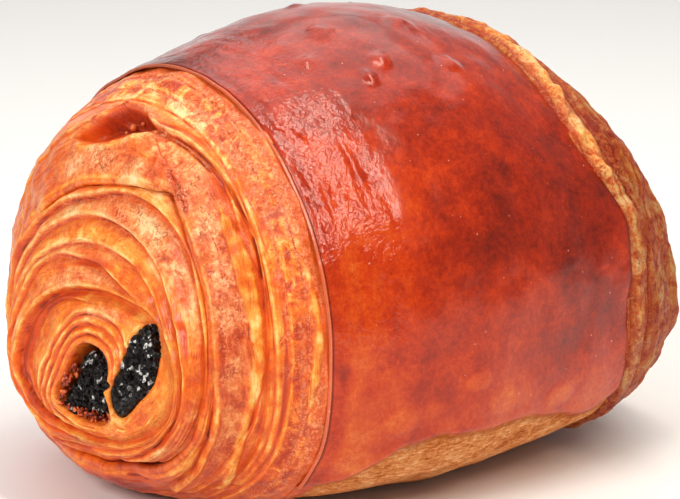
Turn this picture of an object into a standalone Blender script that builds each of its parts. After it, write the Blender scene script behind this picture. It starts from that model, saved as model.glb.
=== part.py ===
# Pain au chocolat: a rolled, laminated pastry with two chocolate sticks through it.
# The roll lies along X. Its open swirl faces -X, and it rests on its flat underside at Z = 0.
# Sizes are in millimetres here and become metres when the meshes are made.
import math

import bmesh
import bpy
import numpy as np

MM = 0.001
# Half the distance over which slopes along and round the roll are measured
STEP = 0.001

# Where the roll's own axes stand, so that the origin is under the middle of the pastry.
MIDDLE = (-0.4, 0.4)

# Cross-sections from the near swirl (0) to the far swirl (1). The glazed wrap is from 0.5 to 0.7.
# along, x, centre y, widest z, half width, rise, drop, yaw, lean, roundness above, and below
SECTIONS = np.array((
    (0.00, -43.9, -8.4, 18.7, 0.0, 0.0, 0.0, -0.10, 0.20, 2.00, 2.0),
    (0.10, -43.0, -7.3, 18.9, 8.7, 7.6, 6.0, -0.10, 0.20, 2.00, 2.0),
    (0.17, -42.4, -4.0, 18.8, 14.3, 10.3, 8.2, -0.07, 0.18, 2.00, 2.0),
    (0.31, -38.4, -1.3, 21.2, 21.0, 22.3, 14.7, -0.01, 0.12, 2.00, 2.2),
    (0.42, -32.7, 1.0, 22.8, 26.2, 26.9, 20.8, -0.01, 0.06, 2.00, 2.4),
    (0.50, -25.2, 0.5, 22.9, 31.5, 31.4, 22.8, 0.06, 0.03, 1.95, 2.7),
    (0.60, -1.3, -1.2, 25.0, 35.5, 35.0, 26.6, 0.06, 0.01, 1.95, 3.0),
    (0.70, 21.7, -0.4, 24.1, 36.0, 33.2, 25.6, 0.04, -0.10, 1.95, 3.0),
    (0.79, 32.9, 0.2, 22.8, 34.0, 28.8, 22.4, 0.01, -0.12, 2.00, 2.5),
    (0.88, 41.0, -1.5, 20.4, 24.2, 19.2, 15.0, 0.00, -0.05, 2.00, 2.2),
    (1.00, 46.1, -4.0, 20.0, 0.0, 0.0, 0.0, 0.00, 0.00, 2.00, 2.0),
))
WRAP_NEAR = 0.5
WRAP_FAR = 0.7

# The mesh: rings along the roll in each stretch, and points round each ring.
NEAR_RINGS = 46
WRAP_RINGS = 12
FAR_RINGS = 24
AROUND = 64
FIRST_RING = 0.02
LAST_RING = 0.975
RING_GAP_AT_WRAP = 0.005

# Edges of the rolled sheet on the near end. Each outer turn stands proud of the turn inside it.
# points (degrees round, place along), lip height, furrow depth, furrow half width, lip length
NEAR_EDGES = (
    (((0, .160), (60, .166), (105, .160), (150, .150), (210, .176), (270, .150), (315, .150)),
     0.9, 1.1, 1.0, 4.0),
    (((10, .214), (50, .228), (90, .206), (130, .176), (165, .150), (215, .197), (270, .190),
      (320, .190)), 0.3, 0.5, 0.5, 3.0),
    (((0, .232), (60, .232), (105, .222), (140, .205), (175, .190), (210, .222), (245, .250),
      (300, .225)), 0.5, 0.5, 0.6, 4.0),
    (((30, .265), (75, .256), (120, .243), (160, .216), (200, .235), (240, .258), (300, .255)),
     0.5, 0.5, 0.6, 4.0),
    (((15, .300), (45, .283), (75, .274), (120, .293), (165, .284), (210, .296), (250, .300),
      (310, .300)), 0.7, 0.7, 0.6, 5.0),
    (((25, .320), (60, .293), (95, .297), (120, .334), (140, .310), (190, .305), (228, .322),
      (270, .330), (330, .335)), 0.8, 0.9, 0.6, 6.0),
    (((0, .415), (60, .412), (100, .410), (130, .428), (180, .424), (225, .415), (280, .410)),
     0.7, 0.6, 0.5, 5.0),
)
# Edges on the far end, as place along, waviness and phase. The turns step in towards the tip.
FAR_EDGES = ((.738, .006, 20), (.782, .008, 130), (.832, .008, 250), (.872, .006, 40),
             (.910, .005, 170), (.945, .004, 300))
FAR_LIP = 0.9
FAR_FURROW = 0.8
FAR_HALF_WIDTH = 0.8
FAR_LIP_LENGTH = 4.0

# The glazed wrap's cut edges stand proud of the ends by this, and fade over this length.
WRAP_LIP = 0.9
WRAP_LIP_LENGTH = 14.0

# The torn air pocket under the top of the third turn.
AIR_POCKET_AT = (82, 0.382)
AIR_POCKET_SIZE = (17, 0.040)
AIR_POCKET_TILT = 0.0011
AIR_POCKET_DEPTH = 3.5
AIR_POCKET_STEEPNESS = 3

# The glaze ends above a pale foot, which is set in a little.
FOOT_HEIGHT = 5.0
FOOT_INSET = 0.5
FOOT_BLEND = 2.0

# Two baking sticks of chocolate. Each runs from the near swirl to the far swirl.
STICK_HALF_WIDTH = 2.7
STICK_ROUNDNESS = 3.0
STICK_GAP = 0.35
STICK_AROUND = 20
STICK_RINGS = 16
STICK_PAST_END = 0.15
STICK_END_TAPER = 0.82
STICK_EDGE_CROWN = 0.7
STICK_CROWN = 0.9
# name, near (x, y, z), far (x, y, z), half height, slope of the near end across and up
STICKS = (
    ("chocolate_stick_1", (-41.3, -12.5, 20.8), (42.4, -8.3, 20.6), 5.4, (-0.24, 0.29)),
    ("chocolate_stick_2", (-42.8, -5.3, 18.2), (42.8, -1.0, 18.6), 4.9, (-0.02, 0.17)),
)
FAR_SLOPE = (0.05, -0.10)
# Open pockets beside the stick ends: centre y and z, half sizes, depth
NEAR_POCKETS = ((-2.6, 17.6, 3.6, 4.6, 2.0),)
FAR_POCKETS = ((1.6, 18.4, 3.4, 4.6, 1.6),)
POCKET_STEEPNESS = 6

SHARP_ANGLE = math.radians(65)
DOUGH_COLOUR = (0.75, 0.33, 0.10, 1.0)
CHOCOLATE_COLOUR = (0.022, 0.010, 0.006, 1.0)


def smooth_rows(rows, at):
    """Smooth values between the rows of a table whose first column is the place along."""
    places = rows[:, 0]
    values = rows[:, 1:]
    gaps = np.diff(places)
    slopes = np.diff(values, axis=0) / gaps[:, None]
    before = slopes[:-1]
    after = slopes[1:]
    same_way = before * after > 0
    heavy = (2 * gaps[1:] + gaps[:-1])[:, None]
    light = (gaps[1:] + 2 * gaps[:-1])[:, None]
    safe_before = np.where(same_way, before, 1.0)
    safe_after = np.where(same_way, after, 1.0)
    mean = (heavy + light) / (heavy / safe_before + light / safe_after)
    tangents = np.vstack((slopes[:1], np.where(same_way, mean, 0.0), slopes[-1:]))
    k = np.clip(np.searchsorted(places, at) - 1, 0, len(places) - 2)
    t = ((at - places[k]) / gaps[k])[..., None]
    gap = gaps[k][..., None]
    start = (1 + 2 * t) * (1 - t) ** 2 * values[k] + t * (1 - t) ** 2 * gap * tangents[k]
    end = t * t * (3 - 2 * t) * values[k + 1] + t * t * (t - 1) * gap * tangents[k + 1]
    return start + end


def roll_surface(along, turn):
    """Points of the smooth roll at places along it and angles round it, in radians."""
    rows = smooth_rows(SECTIONS, along)
    x, y, z, half, rise, drop, yaw, lean, above, below = np.moveaxis(rows, -1, 0)
    c = np.cos(turn)
    s = np.sin(turn)
    power = 2 / np.where(s >= 0, above, below)
    across = half * np.sign(c) * np.abs(c) ** power
    up = np.where(s >= 0, rise, drop) * np.sign(s) * np.abs(s) ** power
    return np.stack((x + yaw * across + lean * up, y + across, z + up), -1)


def smooth_step(value):
    """0 below -1, 1 above 1 and a smooth rise between."""
    t = np.clip(0.5 + 0.5 * value, 0, 1)
    return t * t * (3 - 2 * t)


def ring_line(points, turn):
    """A smooth closed line through points of (degrees round, place along)."""
    places = np.array(points, float)
    order = np.argsort(places[:, 0])
    angles = np.radians(places[order, 0])
    values = places[order, 1]
    count = len(values)
    wound = np.concatenate((angles - 2 * math.pi, angles, angles + 2 * math.pi))
    looped = np.tile(values, 3)
    inner = np.arange(1, 3 * count - 1)
    slope = (looped[inner + 1] - looped[inner - 1]) / (wound[inner + 1] - wound[inner - 1])
    slopes = np.concatenate((slope[:1], slope, slope[-1:]))
    k = np.clip(np.searchsorted(wound, turn) - 1, 1, 3 * count - 3)
    gap = wound[k + 1] - wound[k]
    t = (turn - wound[k]) / gap
    start = (1 + 2 * t) * (1 - t) ** 2 * looped[k] + t * (1 - t) ** 2 * gap * slopes[k]
    end = t * t * (3 - 2 * t) * looped[k + 1] + t * t * (t - 1) * gap * slopes[k + 1]
    return start + end


def lip(distance, height, furrow, half_width, length):
    """Height of a turn's edge: a furrow at its foot, a rounded lip and a slow fade."""
    edge = height * smooth_step(distance / half_width) * np.exp(-np.maximum(distance, 0) / length)
    return edge - furrow * np.exp(-((distance + 0.3 * half_width) / half_width) ** 2)


def relief(along, turn, points, stretch):
    """How far the baked surface stands out from the smooth roll."""
    out = np.zeros_like(along)
    for line, height, furrow, half_width, length in NEAR_EDGES:
        distance = (along - ring_line(line, turn)) * stretch
        out += np.where(along < WRAP_NEAR, lip(distance, height, furrow, half_width, length), 0)
    for place, wave, phase in FAR_EDGES:
        line = place + wave * np.sin(2 * turn + math.radians(phase))
        distance = (line - along) * stretch
        shape = lip(distance, FAR_LIP, FAR_FURROW, FAR_HALF_WIDTH, FAR_LIP_LENGTH)
        out += np.where(along > WRAP_FAR, shape, 0)
    inside = np.minimum(along - WRAP_NEAR, WRAP_FAR - along) * stretch
    out += np.where(inside >= 0, WRAP_LIP * np.exp(-inside / WRAP_LIP_LENGTH), 0)
    degrees = np.degrees(turn)
    shift = (degrees - AIR_POCKET_AT[0]) * AIR_POCKET_TILT
    across = (degrees - AIR_POCKET_AT[0]) / AIR_POCKET_SIZE[0]
    up = (along - AIR_POCKET_AT[1] - shift) / AIR_POCKET_SIZE[1]
    out -= AIR_POCKET_DEPTH * smooth_step((1 - np.hypot(across, up)) * AIR_POCKET_STEEPNESS)
    foot = smooth_step((FOOT_HEIGHT - points[..., 2]) / FOOT_BLEND)
    return out - np.where(inside >= 0, FOOT_INSET * foot, 0)


def pockets(points, along):
    """How far the surface is sunk round the ends of the sticks."""
    sunk = np.zeros_like(along)
    for places, shown in ((NEAR_POCKETS, along < WRAP_NEAR), (FAR_POCKETS, along > WRAP_FAR)):
        for y, z, half_y, half_z, depth in places:
            reach = np.hypot((points[..., 1] - y) / half_y, (points[..., 2] - z) / half_z)
            sunk_here = depth * smooth_step((1 - reach) * POCKET_STEEPNESS)
            sunk = np.maximum(sunk, np.where(shown, sunk_here, 0))
    return sunk


def dough_points():
    """The grid of points over the whole pastry, and the two tips."""
    near = np.linspace(FIRST_RING, WRAP_NEAR - RING_GAP_AT_WRAP, NEAR_RINGS)
    wrap = np.linspace(WRAP_NEAR, WRAP_FAR, WRAP_RINGS)
    far = np.linspace(WRAP_FAR + RING_GAP_AT_WRAP, LAST_RING, FAR_RINGS)
    places = np.concatenate((near, wrap, far))
    angles = np.arange(AROUND) * 2 * math.pi / AROUND
    along, turn = np.meshgrid(places, angles, indexing="ij")
    points = roll_surface(along, turn)
    by_turn = roll_surface(along, turn + STEP) - roll_surface(along, turn - STEP)
    by_along = roll_surface(along + STEP, turn) - roll_surface(along - STEP, turn)
    outward = np.cross(by_turn, by_along)
    outward /= np.linalg.norm(outward, axis=-1, keepdims=True)
    stretch = np.linalg.norm(by_along, axis=-1) / (2 * STEP)
    moved = points + outward * relief(along, turn, points, stretch)[..., None]
    inward = np.where(along < WRAP_NEAR, 1.0, -1.0)
    moved[..., 0] += inward * pockets(points, along)
    moved[..., 2] = np.maximum(moved[..., 2], 0)
    tips = SECTIONS[[0, -1], 1:4]
    return moved, tips


def to_metres(points):
    """Moves points from the roll's axes to the part's frame, in metres."""
    shifted = np.array(points, float)
    shifted[..., 0] += MIDDLE[0]
    shifted[..., 1] += MIDDLE[1]
    return shifted * MM


def mesh_from_rings(name, rings, first, last):
    """A closed mesh through rings of points, shut by a fan at each end."""
    count, around = rings.shape[:2]
    mesh = bpy.data.meshes.new(name)
    shape = bmesh.new()
    grid = [[shape.verts.new(p) for p in ring] for ring in to_metres(rings)]
    start = shape.verts.new(to_metres(first))
    stop = shape.verts.new(to_metres(last))
    for j in range(around):
        k = (j + 1) % around
        shape.faces.new((start, grid[0][j], grid[0][k]))
        shape.faces.new((stop, grid[-1][k], grid[-1][j]))
        for i in range(count - 1):
            shape.faces.new((grid[i][k], grid[i][j], grid[i + 1][j], grid[i + 1][k]))
    bmesh.ops.triangulate(shape, faces=shape.faces[:])
    bmesh.ops.recalc_face_normals(shape, faces=shape.faces[:])
    shape.to_mesh(mesh)
    shape.free()
    return mesh


def material(name, colour, roughness):
    """A plain material of one colour."""
    made = bpy.data.materials.new(name)
    made.use_nodes = True
    shader = made.node_tree.nodes["Principled BSDF"]
    shader.inputs["Base Color"].default_value = colour
    shader.inputs["Roughness"].default_value = roughness
    shader.inputs["Metallic"].default_value = 0.0
    return made


def place(name, mesh, finish):
    """An object in the scene that carries a mesh and its material."""
    made = bpy.data.objects.new(name, mesh)
    mesh.materials.append(finish)
    mesh.shade_smooth()
    mesh.set_sharp_from_angle(angle=SHARP_ANGLE)
    bpy.context.collection.objects.link(made)
    return made


def stick_rings(near, far, half_height, slope, grow, past_end):
    """Rings along a stick, and the points at its ends. The channel is grown and runs past them."""
    near = np.array(near)
    far = np.array(far)
    angles = np.arange(STICK_AROUND) * 2 * math.pi / STICK_AROUND
    power = 2 / STICK_ROUNDNESS
    c = np.cos(angles)
    s = np.sin(angles)
    across = (STICK_HALF_WIDTH + grow) * np.sign(c) * np.abs(c) ** power
    up = (half_height + grow) * np.sign(s) * np.abs(s) ** power
    rings = []
    for t in np.linspace(-past_end, 1 + past_end, STICK_RINGS):
        middle = near + (far - near) * t
        tilt = (1 - t) * np.array(slope) + t * np.array(FAR_SLOPE)
        x = middle[0] + tilt[0] * across + tilt[1] * up
        rings.append(np.stack((x, middle[1] + across, middle[2] + up), -1))
    ends = (near - (far - near) * past_end, far + (far - near) * past_end)
    return np.array(rings), ends


def round_stick_ends(rings, ends):
    """Adds a smaller ring at each end, so that the stick's ends are rounded."""
    edge = np.array((STICK_EDGE_CROWN, 0, 0))
    crown = np.array((STICK_CROWN, 0, 0))
    near = STICK_END_TAPER * rings[0] + (1 - STICK_END_TAPER) * ends[0] - edge
    far = STICK_END_TAPER * rings[-1] + (1 - STICK_END_TAPER) * ends[1] + edge
    return np.concatenate((near[None], rings, far[None])), (ends[0] - crown, ends[1] + crown)


def build():
    """Makes the pastry and its two sticks."""
    for old in list(bpy.data.objects):
        bpy.data.objects.remove(old, do_unlink=True)
    grid, tips = dough_points()
    dough = place("pastry", mesh_from_rings("pastry", grid, tips[0], tips[1]),
                  material("laminated_dough", DOUGH_COLOUR, 0.45))
    chocolate = material("dark_chocolate", CHOCOLATE_COLOUR, 0.4)
    for name, near, far, half_height, slope in STICKS:
        rings, ends = stick_rings(near, far, half_height, slope, STICK_GAP, STICK_PAST_END)
        cutter = place(name + "_channel", mesh_from_rings(name, rings, *ends), chocolate)
        cutter.hide_render = True
        cutter.display_type = "WIRE"
        cut = dough.modifiers.new(name + "_channel", "BOOLEAN")
        cut.operation = "DIFFERENCE"
        cut.solver = "EXACT"
        cut.object = cutter
        rings, ends = stick_rings(near, far, half_height, slope, 0.0, 0.0)
        rings, ends = round_stick_ends(rings, ends)
        place(name, mesh_from_rings(name, rings, *ends), chocolate)


build()
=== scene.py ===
# Looks of the pain au chocolat: the folded, baked sheets of dough, the glaze and the chocolate.
# Sizes are in millimetres in the roll's own axes, as in the solids, and become metres at the end.
# A place on the roll is given by how far along it is, from 0 at the near tip to 1 at the far tip,
# and by its turn: 0 faces +Y, 90 degrees is the top, 180 faces -Y and 270 is the underside.
import math

import bpy
import numpy as np
from mathutils import Matrix, Vector


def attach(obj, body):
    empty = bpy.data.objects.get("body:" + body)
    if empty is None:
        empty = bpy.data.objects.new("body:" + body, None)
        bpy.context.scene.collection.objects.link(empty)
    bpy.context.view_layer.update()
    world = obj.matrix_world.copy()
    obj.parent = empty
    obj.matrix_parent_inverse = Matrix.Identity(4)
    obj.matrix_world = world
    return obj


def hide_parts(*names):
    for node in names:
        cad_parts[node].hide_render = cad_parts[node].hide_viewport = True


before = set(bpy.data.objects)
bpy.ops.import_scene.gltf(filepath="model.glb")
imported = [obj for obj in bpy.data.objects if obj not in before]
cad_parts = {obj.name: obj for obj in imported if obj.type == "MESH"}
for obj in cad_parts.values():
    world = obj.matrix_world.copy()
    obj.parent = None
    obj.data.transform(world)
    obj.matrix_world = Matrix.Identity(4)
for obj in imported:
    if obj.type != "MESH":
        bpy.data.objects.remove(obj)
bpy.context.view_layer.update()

MM = 0.001
STEP = 0.001
MIDDLE = (-0.4, 0.4)

# Cross-sections of the roll, as in the solids.
# along, x, centre y, widest z, half width, rise, drop, yaw, lean, roundness above, and below
SECTIONS = np.array((
    (0.00, -43.9, -8.4, 18.7, 0.0, 0.0, 0.0, -0.10, 0.20, 2.00, 2.0),
    (0.10, -43.0, -7.3, 18.9, 8.7, 7.6, 6.0, -0.10, 0.20, 2.00, 2.0),
    (0.17, -42.4, -4.0, 18.8, 14.3, 10.3, 8.2, -0.07, 0.18, 2.00, 2.0),
    (0.31, -38.4, -1.3, 21.2, 21.0, 22.3, 14.7, -0.01, 0.12, 2.00, 2.2),
    (0.42, -32.7, 1.0, 22.8, 26.2, 26.9, 20.8, -0.01, 0.06, 2.00, 2.4),
    (0.50, -25.2, 0.5, 22.9, 31.5, 31.4, 22.8, 0.06, 0.03, 1.95, 2.7),
    (0.60, -1.3, -1.2, 25.0, 35.5, 35.0, 26.6, 0.06, 0.01, 1.95, 3.0),
    (0.70, 21.7, -0.4, 24.1, 36.0, 33.2, 25.6, 0.04, -0.10, 1.95, 3.0),
    (0.79, 32.9, 0.2, 22.8, 34.0, 28.8, 22.4, 0.01, -0.12, 2.00, 2.5),
    (0.88, 41.0, -1.5, 20.4, 24.2, 19.2, 15.0, 0.00, -0.05, 2.00, 2.2),
    (1.00, 46.1, -4.0, 20.0, 0.0, 0.0, 0.0, 0.00, 0.00, 2.00, 2.0),
))
# Places along the roll where the pieces start and end. The wrap hides the outer turn's end.
CORE_START = 0.012
CORE_UNDER_TURN = 0.035
TURN_END = 0.512
WRAP_NEAR = 0.5
FAR_START = 0.685
FAR_END = 0.988

# Edges of the folded sheets on the near end: points (degrees, along, strength), then
# lip height, furrow depth, furrow half width and lip length in millimetres
NEAR_EDGES = (
    (((0, .147, .8), (30, .153, .9), (45, .162, .9), (60, .160, .9), (72, .142, .5), (85, .135, 0),
      (270, .135, 0), (320, .142, .4)), 0.20, 0.40, 0.35, 2.5),
    (((0, .170, 1), (30, .175, 1), (60, .176, 1), (90, .172, .8), (110, .174, .6), (130, .184, .4),
      (150, .172, .3), (180, .172, .5), (210, .178, .6), (240, .170, .5), (270, .147, .7),
      (300, .152, .9), (330, .165, 1)), 0.75, 0.90, 0.75, 3.5),
    (((15, .210, .8), (45, .228, .9), (60, .223, .9), (75, .212, 1.1), (90, .205, 1.3),
      (105, .190, .9), (120, .186, .2), (150, .180, .2), (200, .192, .5), (235, .203, .6),
      (270, .190, .5), (320, .190, .6)), 0.40, 0.60, 0.40, 3.0),
    (((0, .238, .5), (30, .240, .6), (60, .232, .8), (105, .222, .8), (120, .213, .9),
      (135, .200, .9), (145, .185, .7), (160, .186, 0), (240, .215, 0), (300, .225, .4)),
     0.35, 0.45, 0.35, 3.0),
    (((0, .262, .6), (30, .265, .8), (60, .258, .9), (90, .252, 1), (120, .243, 1), (135, .230, 1),
      (150, .218, 1.2), (165, .210, 1), (195, .215, 1), (210, .222, 1.2), (225, .235, 1.2),
      (240, .250, .8), (270, .245, .5), (320, .255, .5)), 0.45, 0.65, 0.40, 3.5),
    (((15, .300, 1), (30, .288, 1), (60, .278, 1), (75, .273, 1), (90, .280, 1), (105, .287, 1),
      (120, .293, 1), (135, .295, .9), (150, .286, .8), (165, .283, .7), (195, .290, .5),
      (225, .300, .5), (270, .298, .5), (320, .302, .7)), 0.60, 0.80, 0.50, 4.0),
)
# The outer turn of the near end is a sheet of its own, from this line to under the glazed wrap.
TURN_EDGE = ((0, .336, .7), (30, .315, .9), (45, .298, 1), (75, .292, 1), (90, .294, 1),
             (100, .302, 1), (110, .315, 1), (119, .337, 1.2), (126, .325, 1), (135, .312, .9),
             (165, .305, .8), (195, .305, .8), (210, .313, .9), (232, .322, 1), (270, .330, .6),
             (330, .338, .6))
TURN_EDGES = (
    (((170, .306, 0), (180, .312, .5), (195, .325, 1), (210, .343, 1.1), (225, .362, 1.1),
      (240, .378, 1), (252, .388, 0)), 0.30, 0.60, 0.30, 3.0),
    (((50, .400, 0), (75, .400, .3), (100, .408, 1), (120, .422, 1.2), (130, .428, 1.2),
      (150, .430, .9), (180, .425, .5), (210, .430, .5), (240, .425, .4), (300, .42, .4)),
     0.45, 0.60, 0.28, 3.0),
    (((100, .402, .6), (115, .412, .9), (130, .419, .9), (140, .416, .4), (150, .405, .8),
      (165, .400, .8), (172, .395, .8), (180, .408, .8), (195, .412, .8), (210, .402, .8),
      (240, .410, .6), (270, .405, .3), (330, .40, .3)), 0.35, 0.30, 0.18, 1.5),
    (((0, .445, .4), (75, .440, .6), (120, .441, .7), (165, .432, .7), (200, .440, .6),
      (240, .436, .6), (300, .44, .4)), 0.18, 0.22, 0.18, 2.0),
    (((0, .462, .4), (80, .462, .6), (130, .458, .4), (180, .455, .7), (230, .452, .8),
      (300, .46, .4)), 0.12, 0.15, 0.15, 1.5),
    (((0, .480, .4), (90, .486, .8), (130, .482, .5), (180, .480, .8), (230, .474, .7),
      (300, .48, .4)), 0.15, 0.18, 0.15, 1.5),
)
# Where the rolled sheet turns under at the lower left.
FLAP_EDGE = ((220, .335, 0), (232, .320, .8), (240, .295, 1), (247, .275, 1.1), (255, .250, 1.1),
             (270, .185, 1), (285, .165, .5), (300, .160, 0))

# The torn air pocket under the top of the outer turn: its lower and upper edge as (degrees,
# along), how deep it is at each edge, and its bubbles as (degrees, along, depth, radius).
POCKET_LOW = ((62, .384), (66, .374), (70, .357), (76, .348), (83, .350), (91, .365), (96, .381),
              (100, .399), (105, .414))
POCKET_TOP = ((62, .374), (66, .380), (70, .386), (74, .397), (80, .405), (84, .417), (86, .426),
              (91, .427), (95, .424), (101, .409), (105, .400))
POCKET_DEPTHS = (1.0, 3.4)
POCKET_BUBBLES = ((88, .403, 1.7, .46), (91, .415, 1.7, .26), (84, .394, 2.3, .26),
                  (86, .408, 2.3, .18))

# Tears, cracks and thin folds in the outer turn: points (degrees, along), then half width and
# depth in millimetres, darkness and paleness. A depth below zero is a thin raised line.
STROKES = (
    (((102, .414), (104, .417), (110, .425), (115, .432), (119, .433), (122, .431)),
     .30, .30, .72, 0),
    (((102, .405), (108, .407), (114, .413), (120, .419), (124, .420), (130, .421), (137, .413),
      (144, .411), (149, .415), (156, .423), (162, .423), (170, .417)), .28, .35, .72, 0),
    (((102, .399), (105, .382), (108, .371), (112, .362), (115, .356), (119, .350), (122, .345),
      (126, .338)), .20, .30, .80, 0),
    (((132, .348), (138, .359), (142, .361), (150, .362)), .13, .10, .60, 0),
    (((71, .395), (76, .404), (80, .411), (84, .422), (87, .431), (91, .432)), .16, .10, .85, 0),
    (((72, .399), (76, .408), (80, .415), (84, .426), (87, .435), (92, .436)), .11, -.15, 0, .40),
    (((129, .398), (134, .392), (139, .388)), .13, .10, .50, 0),
    (((128, .448), (134, .444), (141, .446), (148, .442), (156, .446)), .15, .15, .50, 0),
    (((118, .470), (126, .466), (133, .470), (140, .463)), .15, .15, .50, 0),
    (((100, .412), (108, .413), (114, .418), (120, .425), (123, .427), (126, .427), (130, .428),
      (133, .428), (135, .424), (138, .421), (143, .427), (148, .431), (153, .430), (160, .427)),
     .13, -.20, 0, .50),
    (((147, .429), (150, .429), (154, .426), (158, .425)), .12, .45, 1.0, 0),
    (((257, .338), (253, .341), (249, .345)), .45, .20, .90, 0),
    (((251, .352), (246, .351), (243, .356)), .35, .20, .95, 0),
    (((245, .366), (241, .371), (238, .378)), .40, .20, .90, 0),
    (((239, .392), (235, .398)), .30, .15, .80, 0),
    (((262, .352), (255, .362), (248, .374), (242, .386), (236, .402)), .16, .25, .85, 0),
    (((233, .420), (230, .432), (228, .446)), .20, .20, .70, 0),
)

# Narrow raised folds in the outer turn: near side, far side, height, paleness
RIBBONS = (
    (((134, .400), (138, .394), (142, .387), (154, .381), (158, .383), (168, .395), (173, .400),
      (180, .405), (188, .399), (206, .396), (231, .426), (236, .430)),
     ((134, .400), (138, .402), (146, .412), (154, .416), (160, .418), (174, .417), (180, .420),
      (188, .411), (204, .407), (233, .438), (236, .432)), .35, .22),
    (((156, .487), (162, .485), (166, .486), (170, .487), (174, .486), (181, .481), (188, .474)),
     ((156, .488), (160, .490), (164, .490), (169, .492), (174, .493), (180, .491), (188, .478)),
     .20, .30),
    (((192, .330), (200, .336), (212, .345), (224, .361), (236, .372), (246, .385)),
     ((192, .335), (200, .345), (212, .356), (224, .373), (236, .386), (246, .390)), .35, .12),
)

# Torn and crusted spots on the outer turn: degrees, along, radius and relief, darkness.
TORN_SPOTS = ((115, .356, 1.0, .20, .60), (110, .347, .7, .12, .50), (119, .368, .7, .12, .40),
              (117, .345, .8, .20, .50), (121, .347, 1.0, .30, .62), (125, .353, 1.1, .25, .45),
              (123, .340, 1.1, .30, .70), (127, .337, .9, .30, .70), (104, .404, .9, .25, .55),
              (99, .418, .7, .25, .35), (95, .427, .7, .25, .30), (91, .430, .7, .20, .30),
              (87, .431, .7, .20, .35), (78, .346, .9, .12, .30), (92, .352, 1.0, .12, .35),
              (205, .342, .9, .2, .40))

# The two openings of the near swirl, as distances from a centre: (degrees, millimetres)
LEFT_OPENING_AT = (-4.2, 17.8)
LEFT_OPENING = ((8, 4.4), (40, 4.6), (70, 5.2), (98, 5.2), (125, 5.3), (150, 4.9), (178, 4.1),
                (196, 5.3), (208, 6.0), (224, 5.9), (250, 4.8), (285, 4.7), (310, 5.3), (330, 6.2),
                (345, 5.6))
RIGHT_OPENING_AT = (-12.6, 20.6)
RIGHT_OPENING = ((8, 2.5), (37, 2.7), (62, 3.6), (78, 5.1), (95, 6.1), (114, 4.9), (136, 4.1),
                 (160, 3.5), (190, 3.1), (214, 2.9), (249, 3.3), (271, 4.6), (284, 5.6),
                 (300, 5.3), (320, 4.4), (335, 3.4))
LEFT_OPENING_DEPTH = 4.6
RIGHT_OPENING_DEPTH = 3.2
OPENING_WALL = 0.28
# Edges of thin layers round the left opening: distance from it and lip height in millimetres
EYE_EDGES = ((1.1, 0.45), (2.3, 0.45), (3.5, 0.35))

# Patches of colour on the near end: (degrees, along, half degrees, half along, amount)
SKIN_PATCHES = ((82, .112, 26, .016, .8), (72, .190, 26, .012, .7), (115, .266, 42, .018, 1),
                (60, .268, 30, .012, .5), (85, .322, 32, .022, 1), (155, .358, 30, .042, 1),
                (125, .385, 22, .028, .7), (110, .455, 16, .012, .8), (75, .22, 25, .01, .4),
                (215, .27, 22, .03, .5), (200, .37, 20, .03, .5), (95, .39, 25, .03, .4))
PALE_PATCHES = ((60, .262, 36, .014, .5), (112, .266, 30, .010, .4), (15, .192, 24, .010, .7),
                (40, .236, 34, .010, .6), (105, .235, 30, .008, .8), (110, .305, 12, .010, 1),
                (152, .262, 16, .030, .6), (225, .345, 17, .014, 1), (190, .404, 36, .007, 1),
                (102, .445, 26, .012, .9), (150, .491, 70, .005, .8), (200, .130, 36, .030, .5),
                (350, .120, 40, .008, .5), (115, .09, 12, .03, .4), (150, .442, 40, .008, .5),
                (150, .25, 25, .02, .3))
# Dark patches are darker baked dough, except the first two, which paint shade on the wall inside
# the second edge from the tip, and the two at along .29 near 252 and 262 degrees, which paint shade
# in the hollow at the lower left.
DARK_AND_SHADED_PATCHES = ((350, .156, 52, .010, .9), (40, .166, 44, .009, .8), (82, .208, 14, .005, .7),
                (20, .285, 14, .014, .7), (178, .472, 22, .005, .3), (82, .484, 12, .006, .6),
                (119, .352, 7, .012, .7), (155, .234, 10, .009, .7), (185, .190, 9, .005, .6),
                (212, .226, 28, .007, .7), (252, .29, 9, .04, .8), (262, .290, 20, .026, .85),
                (265, .380, 16, .04, .9), (161, .362, 10, .016, .30), (142, .262, 6, .012, .5),
                (125, .470, 12, .010, .40),
                (140, .455, 9, .010, .35), (172, .330, 9, .012, .80), (138, .306, 9, .010, .55),
                (153, .358, 6, .008, .5), (163, .378, 7, .007, .55), (142, .260, 7, .014, .5),
                (141, .286, 6, .008, .45), (96, .259, 7, .006, .5), (84, .212, 9, .004, .5),
                (184, .450, 22, .0032, .80), (236, .300, 14, .006, .75),
                (248, .268, 12, .007, .80), (262, .225, 14, .006, .80), (240, .345, 12, .006, .60),
                (275, .190, 14, .006, .80), (127, .412, 4, .006, .35), (127, .459, 5, .007, .40),
                (132, .462, 4, .006, .35), (138, .466, 5, .007, .40), (128, .396, 4, .006, .30),
                (122, .453, 5, .006, .35), (109, .462, 7, .006, .30), (146, .480, 6, .006, .40))

CRACKLE_PATCHES = ((120, .470, 62, .026, 1), (200, .478, 40, .018, .8), (112, .39, 14, .03, .6),
                   (150, .39, 20, .03, .5), (112, .255, 30, .01, .4), (60, .24, 30, .012, .4))

# Edges on the far end, as place along, waviness and phase. The turns step in towards the tip.
FAR_EDGES = ((.738, .006, 20), (.782, .008, 130), (.832, .008, 250), (.872, .006, 40),
             (.910, .005, 170), (.945, .004, 300))

# Where the glazed wrap ends on the far side: (degrees, along)
WRAP_END = ((0, .702), (60, .706), (101, .712), (113, .703), (126, .698), (138, .692),
            (149, .694), (155, .700), (162, .709), (169, .706), (180, .701), (197, .697),
            (204, .694), (240, .698), (300, .702))

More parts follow.
